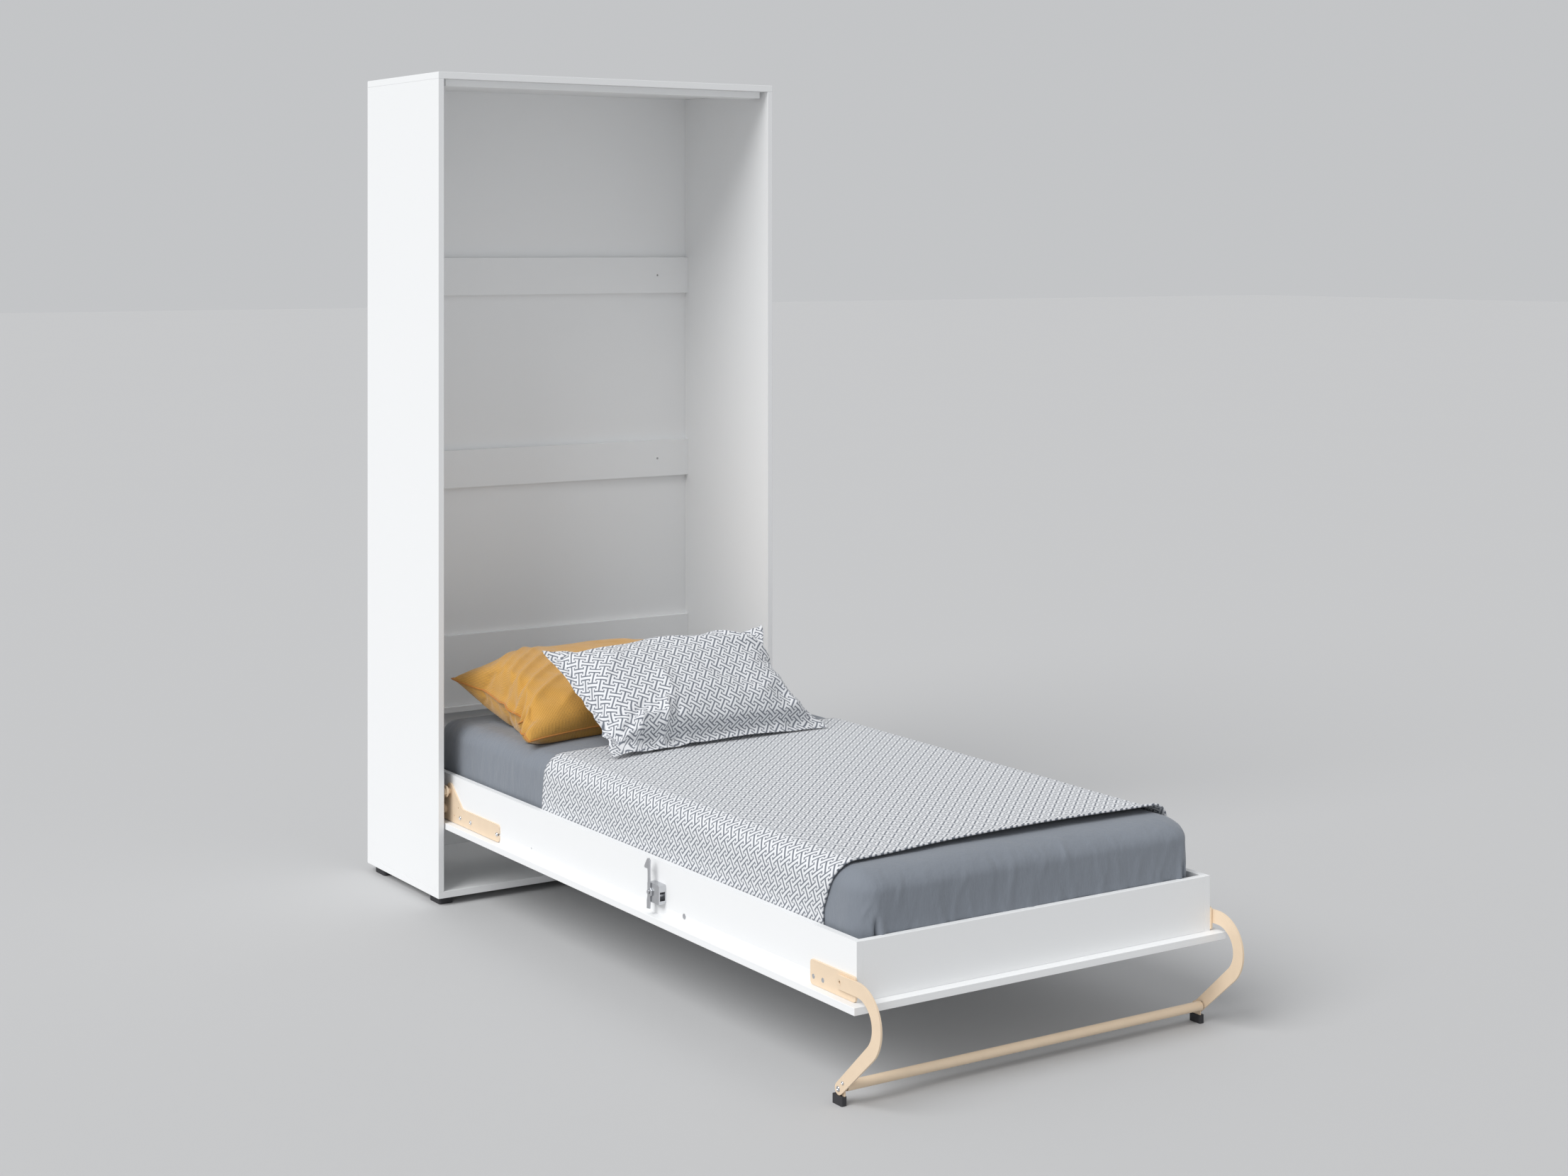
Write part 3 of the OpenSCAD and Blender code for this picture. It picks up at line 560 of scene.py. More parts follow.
def build_mattress(material):
    """A box whose edges are rounded by drawing each point of its shell onto an egg round the nearest
    point of a smaller box; then a crown on top, and creases on the sheet's sides."""
    edge = bpy.context.scene.wall_bed_sizes.mattress_edge
    low, high = np.array(MAT_LOW), np.array(MAT_HIGH)
    high[2] -= bpy.context.scene.wall_bed_sizes.crown
    foot = np.arange(low[1], low[1] + 0.15, 0.005)
    middle = np.arange(low[1] + 0.15, low[1] + 1.3, 0.016)
    head = np.arange(low[1] + 1.3, high[1] - 0.08, 0.009)
    last = np.linspace(high[1] - 0.08, high[1], 15)
    ys = np.concatenate([foot, middle, head, last])
    side = np.linspace(0, 0.06, 13)
    xs = np.concatenate([low[0] + side, np.arange(low[0] + 0.066, high[0] - 0.062, 0.0066),
                         (high[0] - side)[::-1]])
    zs = np.linspace(low[2], high[2], 44)
    verts, faces = box_shell(xs, ys, zs)
    radius = edge * np.array([1, FOOT_ROUNDER, 1])
    inner = np.clip(verts, low + radius, high - radius)
    away = (verts - inner) / radius
    size = np.linalg.norm(away, axis=1, keepdims=True)
    normal = np.divide(away, size, out=np.zeros_like(away), where=size > 0)
    verts = inner + radius * normal
    top = smooth_step(verts[:, 2], high[2] - edge, high[2])
    verts[:, 2] += top * (mattress_top_z(verts[:, 0], verts[:, 1]) - high[2])
    # sides pull in a little at half height, where the sheet is drawn under
    side_share = 1 - np.abs(normal[:, 2])
    level = (verts[:, 2] - low[2]) / (high[2] - low[2])
    pull = 0.003 * np.sin(np.pi * np.clip(level, 0, 1))
    around = np.where(np.abs(normal[:, 1]) > np.abs(normal[:, 0]), verts[:, 0], verts[:, 1])
    fine = creases(around, verts[:, 2], 120, 5, (-0.45, 0.45), (low[2], high[2]), (0.0008, 0.0028),
                   (0.0035, 0.008))
    end = smooth_step(-normal[:, 1], 0.3, 0.8)
    far = smooth_step(np.abs(normal[:, 0]), 0.3, 0.8)
    fine_side = creases(verts[:, 1], verts[:, 2], 60, 9, (low[1] + 1.3, high[1]), (low[2], high[2]),
                        (0.0004, 0.0012), (0.005, 0.010))
    slow = 0.0016 * value_noise(around * 14 + 40, verts[:, 2] * 16, 3)
    # one deep tuck near each foot corner, where the fitted sheet's corner gathers
    tuck = np.zeros(len(verts))
    for sign in (-1, 1):
        off = verts[:, 0] * sign - (high[0] - 0.036)
        rise = 1 - smooth_step(verts[:, 2], low[2] + 0.075, low[2] + 0.125)
        tuck -= rise * 0.013 * np.exp(-(off / 0.0035) ** 2)
        tuck += rise * 0.006 * np.exp(-((off + 0.011) / 0.008) ** 2)
    shift = end * (fine + tuck) + far * fine_side + side_share * (slow + pull)
    ripple = (1 - side_share) * smooth_step(normal[:, 2], 0.2, 0.9) * 0.0012 * value_noise(
        verts[:, 0] * 12 + 9, verts[:, 1] * 9, 21)
    verts = verts + normal * (shift + ripple)[:, None]
    piece = new_piece("mattress", verts, faces)
    place(piece, "mattress_core", material, replaces=("mattress_core", "mattress_top"))
    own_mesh(piece)
    return piece


def blanket_section(n_side, n_arc, n_top):
    """Half of the blanket's path across the bed, from the tuck at the rail to the middle: up the
    mattress's side, round its edge on a quarter circle, and over the top. Pairs of (x, dz), where dz
    is counted from the top of the edge."""
    edge = bpy.context.scene.wall_bed_sizes.mattress_edge
    x = (MAT_HIGH.x - MAT_LOW.x) / 2 + BLANKET_LIFT
    r = edge + BLANKET_LIFT
    low = RAIL_TOP - BLANKET_TUCK - (MAT_HIGH.z - bpy.context.scene.wall_bed_sizes.crown + BLANKET_LIFT)
    side = np.stack([np.full(n_side, -x), np.linspace(low, -r, n_side)], -1)
    t = np.linspace(np.pi, np.pi / 2, n_arc + 1)[1:]
    arc = np.stack([-x + r + r * np.cos(t), -r + r * np.sin(t)], -1)
    top = np.stack([np.linspace(-x + r, 0, n_top + 1)[1:], np.zeros(n_top)], -1)
    return np.concatenate([side, arc, top])


def build_blanket(material):
    """The blanket: the section above, mirrored, carried along the bed, with soft waves on the drops
    and a foot hem that lifts off the mattress."""
    sizes = bpy.context.scene.wall_bed_sizes
    half = blanket_section(16, 12, 50)
    path = np.concatenate([half, (half * [-1, 1])[-2::-1]])
    step = np.linalg.norm(np.diff(path, axis=0), axis=1)
    arc = np.concatenate([[0], np.cumsum(step)])
    y = np.linspace(BLANKET_LOW.y, BLANKET_HIGH.y + 0.02, 150)
    x = np.broadcast_to(path[:, 0], (len(y), len(path)))
    dz = np.broadcast_to(path[:, 1], x.shape)
    yy = np.broadcast_to(y[:, None], x.shape)
    base = mattress_top_z(x, yy) + BLANKET_LIFT
    z = base + dz
    share = np.clip(-dz / 0.1, 0, 1)
    # hems: both ends run a little askew down the sides
    t = (yy - BLANKET_LOW.y) / (y[-1] - BLANKET_LOW.y)
    skew = share * (0.045 * (1 - t) ** 3 + 0.012 * t ** 3) * np.where(x < 0, 1, 0.6)
    yy = yy + skew + 0.004 * value_noise(x * 5 + 3, t * 0 + 1.5, 8) * (1 - t) ** 4
    # foot hem stands off the mattress, more towards the right
    hem = np.exp(-((yy - BLANKET_LOW.y) / 0.030) ** 2)
    rise = (0.002 + 0.011 * smooth_step(x, -0.42, 0.1)) * hem * (1 - share)
    z = z + rise
    wave = 0.0022 * value_noise(yy * 11, z * 7, 4) * share + 0.0008 * value_noise(x * 6 + 20, yy * 5, 6)
    side_x = np.sign(x) * (wave + 0.001 + 0.003 * share * hem) * share
    verts = np.stack([x + side_x, yy, z + (wave + 0.0008) * (1 - share)], -1).reshape(-1, 3)
    uv = np.stack([np.broadcast_to(arc, x.shape), np.broadcast_to(y[:, None], x.shape)], -1).reshape(-1, 2)
    piece = new_piece("blanket_cover", verts, grid_faces(len(y), len(path)), uv)
    thick = piece.modifiers.new("cloth_thickness", "SOLIDIFY")
    thick.thickness = sizes.blanket_thick
    thick.offset = 1.0
    place(piece, "blanket", material, replaces=("blanket",))
    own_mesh(piece)
    return piece


def pillow_shell(width, depth, swell, flange, pinch, nu, nv):
    """Two layers of cloth sewn round the edge. A point (u, v) from -1 to 1 lies at (u * width / 2,
    v * depth / 2), and stands off the middle by swell * ((1 - s^2.6) * (1 - t^2.6)) ^ 0.62, where s
    and t run from 0 in the middle to 1 at the stuffing's edge. Between the corners, the left, right,
    lower and upper sides draw in by their own share in pinch."""
    u, v = np.meshgrid(np.linspace(-1, 1, nu), np.linspace(-1, 1, nv), indexing="ij")
    s = np.clip(np.abs(u) / (1 - 2 * flange / width), 0, 1)
    t = np.clip(np.abs(v) / (1 - 2 * flange / depth), 0, 1)
    stand = swell * ((1 - s ** 2.6) * (1 - t ** 2.6)) ** 0.62
    left, right, lower, upper = pinch
    x = u * width / 2 * (1 - np.where(u < 0, left, right) * (1 - v ** 2) ** 1.5 * np.abs(u) ** 3)
    y = v * depth / 2 * (1 - np.where(v < 0, lower, upper) * (1 - u ** 2) ** 1.5 * np.abs(v) ** 3)
    return np.stack([x, y, stand], -1), np.stack([x, y, -0.8 * stand], -1)


def sewn(upper, lower):
    """Vertices and quads of two layers that share their rim, and the vertex numbers of each layer."""
    nu, nv = upper.shape[:2]
    top = np.arange(nu * nv).reshape(nu, nv)
    rim = np.zeros((nu, nv), bool)
    rim[[0, -1]] = rim[:, [0, -1]] = True
    bottom = np.where(rim, top, 0)
    bottom[~rim] = nu * nv + np.arange((~rim).sum())
    verts = np.concatenate([upper.reshape(-1, 3), lower[~rim]])

    def quads(n, flip):
        q = np.stack([n[:-1, :-1], n[1:, :-1], n[1:, 1:], n[:-1, 1:]], -1).reshape(-1, 4)
        return q[:, ::-1] if flip else q

    return verts, np.concatenate([quads(top, False), quads(bottom, True)]), top, bottom


def inflate(verts, faces, pressure, loose, frames=18, shrink=-0.02):
    """Cloth under inner pressure with gravity off. loose is how much each point feels the pressure."""
    piece = new_piece("cloth_trial", verts, faces)
    group = piece.vertex_groups.new(name="pressed")
    for share in np.unique(np.round(loose, 1)):
        group.add(np.flatnonzero(np.round(loose, 1) == share).tolist(), float(share), "REPLACE")
    cloth = piece.modifiers.new("cloth", "CLOTH")
    settings = cloth.settings
    settings.quality = 6
    settings.mass = 0.25
    settings.tension_stiffness = settings.compression_stiffness = 22
    settings.shear_stiffness = 12
    settings.bending_stiffness = 0.25
    settings.use_pressure = True
    settings.uniform_pressure_force = pressure
    settings.vertex_group_pressure = "pressed"
    settings.shrink_min = shrink
    settings.effector_weights.gravity = 0
    cloth.collision_settings.use_collision = False
    cloth.point_cache.frame_end = frames
    for step in range(1, frames + 1):
        bpy.context.scene.frame_set(step)
    shape = piece.evaluated_get(bpy.context.evaluated_depsgraph_get())
    made = np.zeros(len(shape.data.vertices) * 3)
    shape.data.vertices.foreach_get("co", made)
    bpy.data.objects.remove(piece)
    bpy.context.scene.frame_set(1)
    return made.reshape(-1, 3)


def bent_to(points, width, depth, corners):
    """Carries a flat pillow to its place: (x, y) becomes a point of the patch between four corners,
    and z stands off it along the patch's normal."""
    u, v = points[:, 0] / width + 0.5, points[:, 1] / depth + 0.5
    low_left, low_right, top_left, top_right = (np.array(c) for c in corners)
    u, v = u[:, None], v[:, None]
    place_at = (low_left * (1 - u) + low_right * u) * (1 - v) + (top_left * (1 - u) + top_right * u) * v
    du = (low_right - low_left) * (1 - v) + (top_right - top_left) * v
    dv = (top_left - low_left) * (1 - u) + (top_right - low_right) * u
    normal = np.cross(du, dv)
    normal /= np.linalg.norm(normal, axis=1, keepdims=True)
    return place_at + normal * points[:, 2:3]


def folds(x, y, lines):
    """Folds in the cloth: each line is (x, y, angle, length, width, height, edge). Across it the fold
    is exp(-(sqrt(a^2 + e^2) - e) / w), a ridge as sharp as its edge e is small, and it starts and
    ends smoothly along the line."""
    height = np.zeros_like(x)
    for x0, y0, angle, long, wide, high, edge in lines:
        c, s = math.cos(math.radians(angle)), math.sin(math.radians(angle))
        along, across = (x - x0) * c + (y - y0) * s, (y - y0) * c - (x - x0) * s
        height += high * np.exp(-(np.sqrt(across ** 2 + edge ** 2) - edge) / wide) * smooth_step(
            along, 0, 0.3 * long) * (1 - smooth_step(along, 0.7 * long, long))
    return height


def under_map(points, cell=0.012):
    """A height map of the lowest points in each cell of the plan, for laying one piece under another."""
    origin = points[:, :2].min(0)
    index = np.floor((points[:, :2] - origin) / cell).astype(int)
    shape = index.max(0) + 1
    height = np.full(shape, np.inf)
    np.minimum.at(height, (index[:, 0], index[:, 1]), points[:, 2])

    def sample(x, y):
        i = np.floor((x - origin[0]) / cell).astype(int)
        j = np.floor((y - origin[1]) / cell).astype(int)
        inside = (i >= 0) & (j >= 0) & (i < shape[0]) & (j < shape[1])
        return np.where(inside, height[np.clip(i, 0, shape[0] - 1), np.clip(j, 0, shape[1] - 1)], np.inf)

    return sample


# Corners of the pillows at their seams: low left, low right, top left, top right
WHITE_CORNERS = ((-0.352, 0.108, 0.482), (0.298, 0.135, 0.482),
                 (-0.386, 0.4225, 0.703), (0.270, 0.4205, 0.713))
MUSTARD_CORNERS = ((-0.446, 0.376, 0.486), (0.185, 0.350, 0.490),
                   (-0.428, 0.865, 0.572), (0.205, 0.838, 0.610))
# Width, depth, and half the height of the stuffing
WHITE_SIZE = (0.660, 0.400, 0.060)
MUSTARD_SIZE = (0.635, 0.500, 0.070)
# Share by which the left, right, lower and upper sides draw in
WHITE_PINCH = (0.02, 0.18, 0.02, 0.13)
MUSTARD_PINCH = (0.055, 0.055, 0.055, 0.055)
# Pressure of the stuffing, and depth of the crumples in the left seam
WHITE_PRESSURE, WHITE_CRUMPLE = 3.0, 0.006
MUSTARD_PRESSURE, MUSTARD_CRUMPLE = 4.0, 0.012
PIPING_RADIUS = 0.0022
# Furthest that a point may move when a pillow is inflated
MOST_SWELL = 0.03
# Folds of each pillow, as the function folds reads them
WHITE_FOLDS = (
    (-0.34, 0.185, -3, 0.36, 0.022, 0.010, 0.004), (0.08, 0.190, -43, 0.36, 0.016, 0.018, 0.002),
    (-0.14, 0.170, -16, 0.46, 0.024, 0.016, 0.003), (-0.02, 0.02, -28, 0.34, 0.020, -0.010, 0.006),
    (0.10, -0.12, 30, 0.24, 0.022, 0.010, 0.006), (-0.13, -0.15, 80, 0.20, 0.018, 0.009, 0.006),
    (-0.175, -0.19, 72, 0.13, 0.009, 0.017, 0.002), (-0.150, -0.19, 66, 0.12, 0.008, -0.010, 0.002),
    (-0.31, -0.115, -6, 0.24, 0.011, 0.014, 0.002), (-0.31, -0.165, 35, 0.17, 0.010, -0.012, 0.002),
    (-0.25, -0.18, 62, 0.11, 0.008, 0.010, 0.002), (-0.29, -0.02, 48, 0.20, 0.020, 0.008, 0.006),
    (0.16, -0.18, 30, 0.16, 0.014, 0.008, 0.003), (0.26, -0.17, 112, 0.14, 0.010, 0.010, 0.003))
MUSTARD_FOLDS = (
    (-0.33, -0.185, 32, 0.30, 0.010, 0.013, 0.003), (-0.33, -0.135, 36, 0.32, 0.010, 0.014, 0.003),
    (-0.32, -0.085, 40, 0.34, 0.011, 0.014, 0.003), (-0.31, -0.035, 43, 0.34, 0.011, 0.013, 0.003),
    (-0.29, 0.020, 45, 0.32, 0.011, 0.012, 0.004), (-0.27, 0.080, 46, 0.26, 0.013, 0.010, 0.005),
    (-0.24, -0.215, 34, 0.30, 0.013, 0.010, 0.005), (-0.315, -0.06, 6, 0.10, 0.010, -0.018, 0.002),
    (-0.28, -0.21, 78, 0.11, 0.009, -0.014, 0.002))


def cloth_uv(verts, top, bottom):
    """Cloth coordinates of both layers: the length along each grid line from the pillow's middle."""
    uv = np.zeros((len(verts), 2))
    for layer in (bottom, top):
        points = verts[layer]
        for axis in (0, 1):
            step = np.linalg.norm(np.diff(points, axis=axis), axis=2)
            total = np.concatenate([np.zeros_like(np.take(step, [0], axis)), np.cumsum(step, axis)], axis)
            middle = np.take(total, [total.shape[axis] // 2], axis)
            uv[layer.ravel(), axis] = (total - middle).ravel()
    return uv


def blanket_z(x, y):
    """Height of what a pillow lies on: the blanket, or the sheet beyond the blanket's head hem."""
    on = smooth_step(-y, -(BLANKET_HIGH.y + 0.03), -(BLANKET_HIGH.y + 0.01))
    return mattress_top_z(x, y) + 0.001 + 0.009 * on


def build_pillow(size, corners, fold_lines, pressure, pinch, crumple, flange=0.0, roof=None, nu=130, nv=86):
    """A stuffed pillow: sewn layers, inflated as cloth, folded, bent to its corners and flattened on
    what lies under it. Returns verts, faces, uv and the rim's points in order."""
    width, depth, swell = size
    upper, lower = pillow_shell(width, depth, swell, flange, pinch, nu, nv)
    verts, faces, top, bottom = sewn(upper, lower)
    flat = verts[:, :2].copy()
    inset = np.minimum(width / 2 - np.abs(flat[:, 0]), depth / 2 - np.abs(flat[:, 1]))
    stuffed = smooth_step(inset, flange, flange + 0.012) if flange else np.ones(len(verts))
    move = inflate(verts, faces, pressure, stuffed) - verts
    far = np.linalg.norm(move, axis=1, keepdims=True)
    verts = verts + move * np.minimum(1, MOST_SWELL / np.maximum(far, 1e-9))
    facing = np.where(np.arange(len(verts)) < nu * nv, 1, -1)
    if flange:
        # the border's two layers lie together, with small waves
        up, down = verts[top.ravel()], verts[bottom.ravel()]
        share = stuffed[top.ravel()][:, None]
        middle = (up + down) / 2
        wave = value_noise(middle[:, 0] * 22 + 50, middle[:, 1] * 22 + 50, 12)[:, None]
        wave = 0.005 * wave * (1 - share)
        gap = (up - down) / 2 * share + np.array([0, 0, 0.0009]) * (1 - share)
        gap = np.where((bottom.ravel() == top.ravel())[:, None], 0, gap)
        lift = np.array([0, 0, 1.0]) * wave
        verts = verts.copy()
        verts[bottom.ravel()] = middle + lift - gap
        verts[top.ravel()] = middle + lift + gap
    ridge = folds(flat[:, 0], flat[:, 1], fold_lines)
    small = 0.0022 * value_noise(flat[:, 0] * 17 + 7, flat[:, 1] * 17 + 31, 33)
    small += 0.0012 * value_noise(flat[:, 0] * 41 + 5, flat[:, 1] * 41 + 11, 34)
    verts[:, 2] += np.where(facing > 0, ridge + small, 0) * smooth_step(inset, 0, 0.03)
    # crumpled seam on the lower part of the left side
    near = np.exp(-((flat[:, 0] + width / 2) / 0.035) ** 2)
    near = near * np.exp(-((flat[:, 1] + 0.25 * depth) / (0.22 * depth)) ** 2)
    verts[:, 0] += crumple * near * np.sin(flat[:, 1] / 0.0085)
    verts[:, 2] += crumple * near * np.sin(flat[:, 1] / 0.0120 + 1)
    verts = bent_to(verts, width, depth, corners)
    floor = blanket_z(verts[:, 0], verts[:, 1]) + 0.001
    verts[:, 2] = np.maximum(verts[:, 2], floor + 0.0008 * (facing > 0))
    if roof is not None:
        high = roof(verts[:, 0], verts[:, 1])
        verts[:, 2] = np.minimum(verts[:, 2], np.maximum(high - 0.005, floor + 0.004 * (facing > 0)))
    ring = np.concatenate([top[:, 0], top[-1, 1:], top[-2::-1, -1], top[0, -2:0:-1]])
    return verts, faces, cloth_uv(verts, top, bottom), ring


def tube_round(points, radius, sides=10):
    """A closed tube: a circle carried along a closed path, standing square to it."""
    ahead = np.roll(points, -1, 0) - np.roll(points, 1, 0)
    ahead /= np.linalg.norm(ahead, axis=1, keepdims=True)
    across = np.cross(ahead, [0, 0, 1.0])
    across /= np.linalg.norm(across, axis=1, keepdims=True)
    up = np.cross(across, ahead)
    t = np.linspace(0, 2 * np.pi, sides, endpoint=False)
    ring = np.cos(t)[None, :, None] * across[:, None] + np.sin(t)[None, :, None] * up[:, None]
    verts = points[:, None] + radius * ring
    return verts.reshape(-1, 3), grid_faces(len(points), sides, wrap_cols=True, wrap_rows=True)


# ---- Operators ----

# Turn of the print on the cloth, in degrees
BLANKET_PRINT_TURN, PILLOW_PRINT_TURN = 45, 40


def materials():
    """The materials, made once and kept by name."""
    colours = bpy.context.scene.wall_bed_colours
    sizes = bpy.context.scene.wall_bed_sizes
    makers = {
        "white_laminate": lambda: laminate(colours.board),
        "beige_powder_coat": lambda: powder_coat(colours.coat),
        "zinc_plating": lambda: plating("zinc_plating", colours.plate, 0.34),
        "bright_plating": lambda: plating("bright_plating", BRIGHT_METAL, 0.16),
        "black_rubber": rubber,
        "strut_paint": gloss_paint,
        "beech": timber,
        "fitted_sheet": lambda: sheet_cloth(colours.sheet),
        "blanket_print": lambda: lattice_print("blanket_print", colours.print_light, colours.print_dark,
                                               sizes.blanket_print, math.radians(BLANKET_PRINT_TURN)),
        "pillow_print": lambda: lattice_print("pillow_print", colours.print_light, colours.print_dark,
                                              sizes.pillow_print, math.radians(PILLOW_PRINT_TURN)),
        "mustard_cotton": lambda: ribbed_cloth(colours.mustard),
        "piping_cotton": lambda: piping_cloth(colours.piping),
    }

    def find(name):
        return bpy.data.materials.get(name) or makers[name]()

    return find


class WALLBED_OT_cabinet_boards(bpy.types.Operator):
    """Boards of the cabinet and the bed frame, with rounded edge bands"""
    bl_idname = "wallbed.boards"
    bl_label = "Boards"

    def execute(self, context):
        for node in BOARDS:
            refined(node, context.scene.wall_bed_sizes.board_edge, materials()("white_laminate"))
        return {"FINISHED"}


class WALLBED_OT_slats(bpy.types.Operator):
    """Slats, ledges and bearer under the mattress"""
    bl_idname = "wallbed.slats"
    bl_label = "Slats"

    def execute(self, context):
        for node in TIMBER:
            refined(node, TIMBER_EDGE, materials()("beech"))
        return {"FINISHED"}


class WALLBED_OT_steelwork(bpy.types.Operator):
    """Coated, plated and bright steel parts, rubber feet and gas struts"""
    bl_idname = "wallbed.steelwork"
    bl_label = "Steelwork"

    def execute(self, context):
        edge = context.scene.wall_bed_sizes.steel_edge
        groups = ((COATED, "beige_powder_coat", edge), (PLATED, "zinc_plating", edge / 2),
                  (BRIGHT, "bright_plating", edge / 2), (RUBBER, "black_rubber", RUBBER_EDGE),
                  (STRUTS, "strut_paint", edge))
        for nodes, name, round_by in groups:
            for node in nodes:
                refined(node, round_by, materials()(name))
        return {"FINISHED"}


def screw_head(radius, height):
    """Half outline of a domed head with a round recess, as (radius, height) pairs: a short shank, a
    dome that falls off as a cosine while it rises as a sine, and the recess on top."""
    t = np.linspace(0, 1, 9)
    dome = np.stack([radius * np.cos(t * 1.15), height * np.sin(t * np.pi / 2)], -1)
    shank = [[radius * 0.35, -0.004], [radius * 0.35, -0.0001], [radius, 0.0]]
    recess = [[radius * 0.36, height * 0.92], [radius * 0.30, height * 0.45], [0.0, height * 0.35]]
    return np.concatenate([shank, dome[1:], recess])


class WALLBED_OT_screws(bpy.types.Operator):
    """Domed screw heads on the hinge brackets and the leg's lower end"""
    bl_idname = "wallbed.screws"
    bl_label = "Screws"

    def execute(self, context):
        for node, height in (("bracket_screws", 0.0032), ("leg_bolts", 0.0030)):
            centres, sizes = islands(node)
            parts = []
            for centre, size in zip(centres, sizes):
                side = np.sign(centre[0])
                face = abs(centre[0]) + size[0] / 2 - 0.003
                start = (side * face, centre[1], centre[2])
                parts.append(turned(screw_head(size[1] / 2, height), start, (side, 0, 0)))
            piece = merged(node + "_heads", parts)
            weld(piece)
            place(piece, node, materials()("bright_plating"), replaces=(node,))
        return {"FINISHED"}


class WALLBED_OT_mattress(bpy.types.Operator):
    """Mattress in its fitted sheet"""
    bl_idname = "wallbed.mattress"
    bl_label = "Mattress"

    def execute(self, context):
        build_mattress(materials()("fitted_sheet"))
        return {"FINISHED"}


class WALLBED_OT_blanket(bpy.types.Operator):
    """Printed blanket that hangs down both sides of the mattress"""
    bl_idname = "wallbed.blanket"
    bl_label = "Blanket"

    def execute(self, context):
        build_blanket(materials()("blanket_print"))
        return {"FINISHED"}


def finish_pillow(piece, node, material):
    """Material, body and subdivision that both pillows share."""
    smooth = piece.modifiers.new("soft", "SUBSURF")
    smooth.levels = smooth.render_levels = 1
    place(piece, node, material, replaces=(node,))
    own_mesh(piece)


class WALLBED_OT_pillows(bpy.types.Operator):
    """White printed pillow with a flat border, and the mustard pillow with piping under it"""
    bl_idname = "wallbed.pillows"
    bl_label = "Pillows"

    def execute(self, context):
        flange = context.scene.wall_bed_sizes.flange
        verts, faces, uv, _ = build_pillow(WHITE_SIZE, WHITE_CORNERS, WHITE_FOLDS, WHITE_PRESSURE,
                                           WHITE_PINCH, WHITE_CRUMPLE, flange=flange)
        white = new_piece("white_pillow_case", verts, faces, uv)
        finish_pillow(white, "white_pillow", materials()("pillow_print"))
        roof = under_map(verts)
        verts, faces, uv, ring = build_pillow(MUSTARD_SIZE, MUSTARD_CORNERS, MUSTARD_FOLDS,
                                              MUSTARD_PRESSURE, MUSTARD_PINCH, MUSTARD_CRUMPLE, roof=roof)
        mustard = new_piece("mustard_pillow_cover", verts, faces, uv)
        finish_pillow(mustard, "mustard_pillow", materials()("mustard_cotton"))
        tube, quads = tube_round(verts[ring], PIPING_RADIUS)
        cord = new_piece("mustard_piping", tube, quads)
        weld(cord)
        place(cord, "mustard_pillow", materials()("piping_cotton"))
        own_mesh(cord)
        return {"FINISHED"}


# Level camera in front of the foot end, to the left: its lens and sensor in millimetres, the shift
# that keeps the uprights upright, its place, and its turn to the right in degrees
CAMERA_LENS, CAMERA_SENSOR, CAMERA_SHIFT = 56.5, 36.0, -0.2174
CAMERA_PLACE, CAMERA_TURN = (-3.2991, -5.1487, 1.7295), -33.23
FLOOR_REACH, FLOOR_COLOUR = 60.0, (0.550, 0.551, 0.554)
SKY_COLOUR, SKY_STRENGTH = (0.965, 0.98, 1, 1), 0.57
SUN_STRENGTH, SUN_SPREAD, SUN_TOWARDS = 2.15, 40, (0.85, 0.22, -0.85)


def add_sun(name, strength, spread, towards):
    """A sun that shines along towards; spread is its width in degrees, which softens the shadows."""
    light = bpy.data.lights.new(name, "SUN")
    light.energy = strength
    light.angle = math.radians(spread)
    made = bpy.data.objects.new(name, light)
    made.rotation_euler = Vector(towards).to_track_quat("-Z", "Y").to_euler()
    bpy.context.scene.collection.objects.link(made)


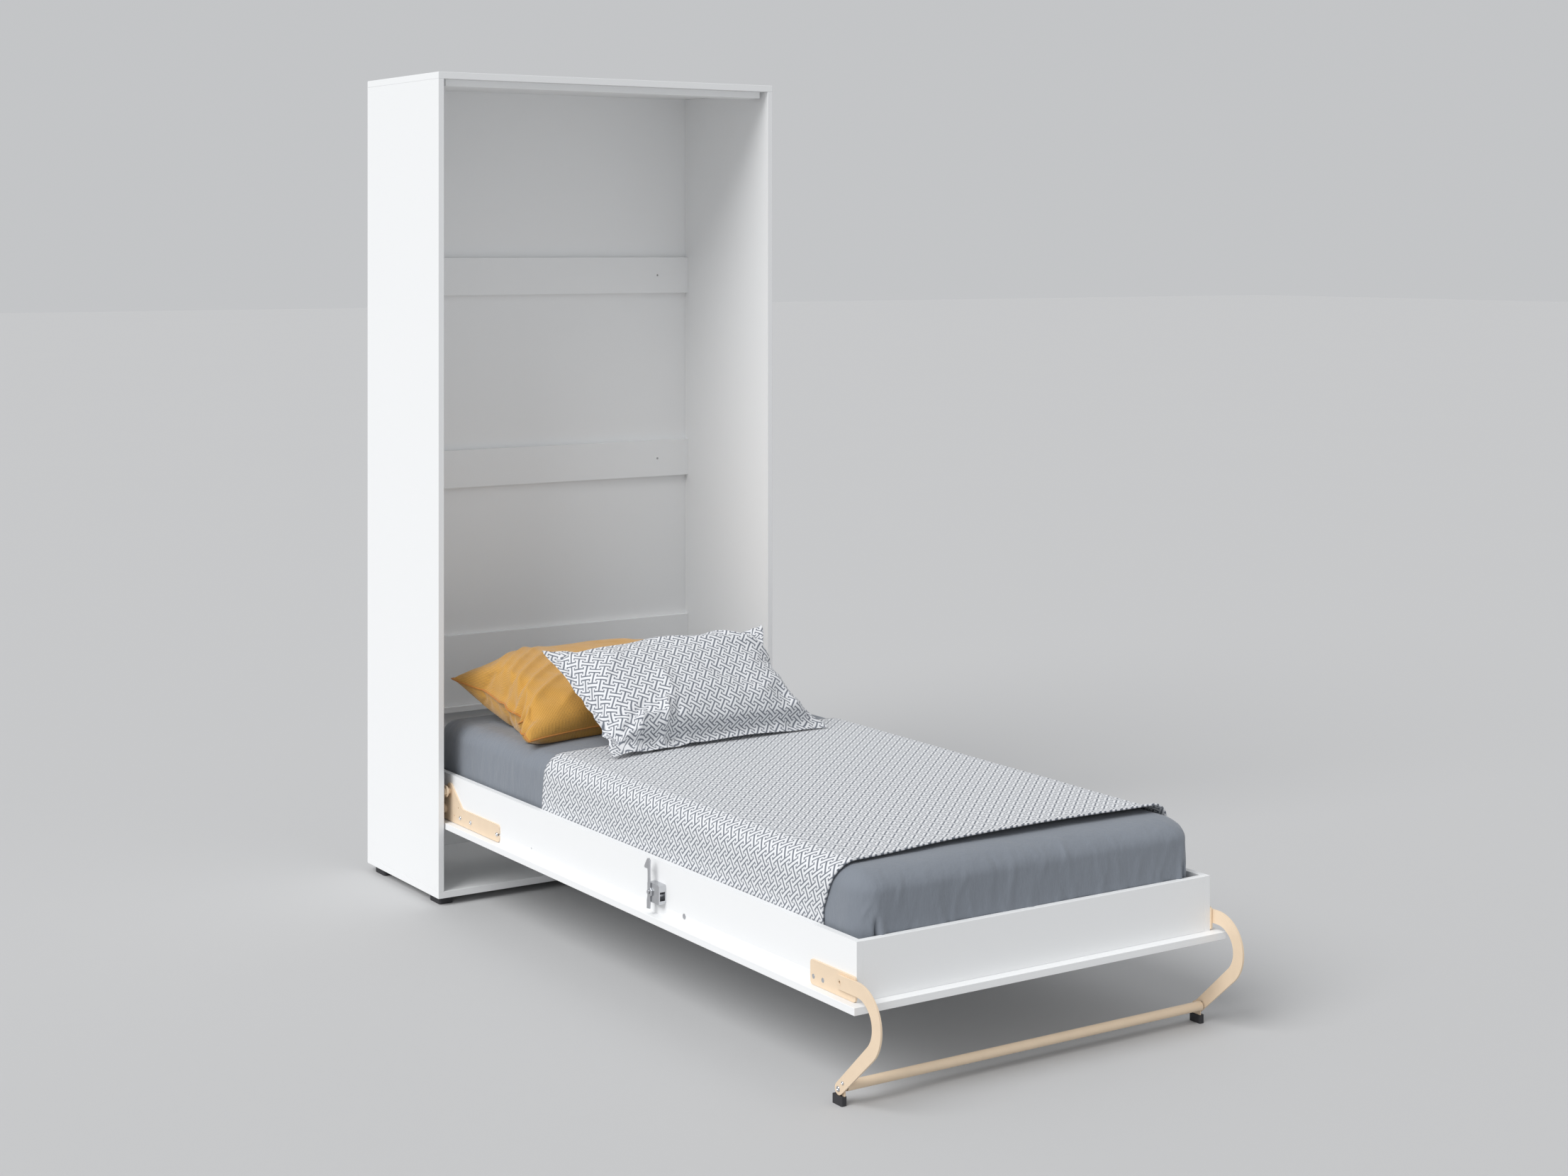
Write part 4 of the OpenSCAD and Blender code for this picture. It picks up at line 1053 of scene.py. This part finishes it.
class WALLBED_OT_stage(bpy.types.Operator):
    """Pale floor, soft light and the camera"""
    bl_idname = "wallbed.stage"
    bl_label = "Stage"

    def execute(self, context):
        scene = context.scene
        corners = FLOOR_REACH * np.array([(-1, -1, 0), (1, -1, 0), (1, 1, 0), (-1, 1, 0)])
        floor = new_piece("floor", corners, [(0, 1, 2, 3)])
        pale = Finish("pale_floor", FLOOR_COLOUR, 0.9)
        patches = pale.noise(pale.where(), 0.6)
        pale.to("Base Color", pale.mix(patches, shade(FLOOR_COLOUR, 0.995), shade(FLOOR_COLOUR, 1.005)))
        floor.data.materials.append(pale.material)
        world = bpy.data.worlds.new("soft_light")
        scene.world = world
        world.use_nodes = True
        sky = world.node_tree.nodes["Background"]
        sky.inputs["Color"].default_value = SKY_COLOUR
        sky.inputs["Strength"].default_value = SKY_STRENGTH
        add_sun("key", SUN_STRENGTH, SUN_SPREAD, SUN_TOWARDS)
        scene.view_settings.view_transform = "Standard"
        camera = bpy.data.cameras.new("camera")
        camera.lens = CAMERA_LENS
        camera.sensor_width = CAMERA_SENSOR
        camera.shift_y = CAMERA_SHIFT
        camera.clip_end = 200
        made = bpy.data.objects.new("camera", camera)
        made.location = CAMERA_PLACE
        made.rotation_euler = (math.radians(90), 0, math.radians(CAMERA_TURN))
        scene.collection.objects.link(made)
        scene.camera = made
        return {"FINISHED"}


class WALLBED_PT_sidebar(bpy.types.Panel):
    """Sizes, colours and pieces of the wall bed"""
    bl_idname = "WALLBED_PT_sidebar"
    bl_label = "Wall bed"
    bl_space_type = "VIEW_3D"
    bl_region_type = "UI"
    bl_category = "Wall bed"

    def draw(self, context):
        for group in (context.scene.wall_bed_sizes, context.scene.wall_bed_colours):
            for key in group.__annotations__:
                self.layout.prop(group, key)
        for operator in OPERATORS:
            self.layout.operator(operator.bl_idname)


OPERATORS = (WALLBED_OT_cabinet_boards, WALLBED_OT_slats, WALLBED_OT_steelwork, WALLBED_OT_screws,
             WALLBED_OT_mattress, WALLBED_OT_blanket, WALLBED_OT_pillows, WALLBED_OT_stage)
CLASSES = (WallBedColours, WallBedSizes) + OPERATORS + (WALLBED_PT_sidebar,)


def register():
    for cls in CLASSES:
        bpy.utils.register_class(cls)
    bpy.types.Scene.wall_bed_colours = PointerProperty(type=WallBedColours)
    bpy.types.Scene.wall_bed_sizes = PointerProperty(type=WallBedSizes)


def unregister():
    del bpy.types.Scene.wall_bed_colours
    del bpy.types.Scene.wall_bed_sizes
    for cls in reversed(CLASSES):
        bpy.utils.unregister_class(cls)


def main():
    register()
    bpy.ops.wallbed.boards()
    bpy.ops.wallbed.slats()
    bpy.ops.wallbed.steelwork()
    bpy.ops.wallbed.screws()
    bpy.ops.wallbed.mattress()
    bpy.ops.wallbed.blanket()
    bpy.ops.wallbed.pillows()
    bpy.ops.wallbed.stage()


if __name__ == "__main__":
    main()
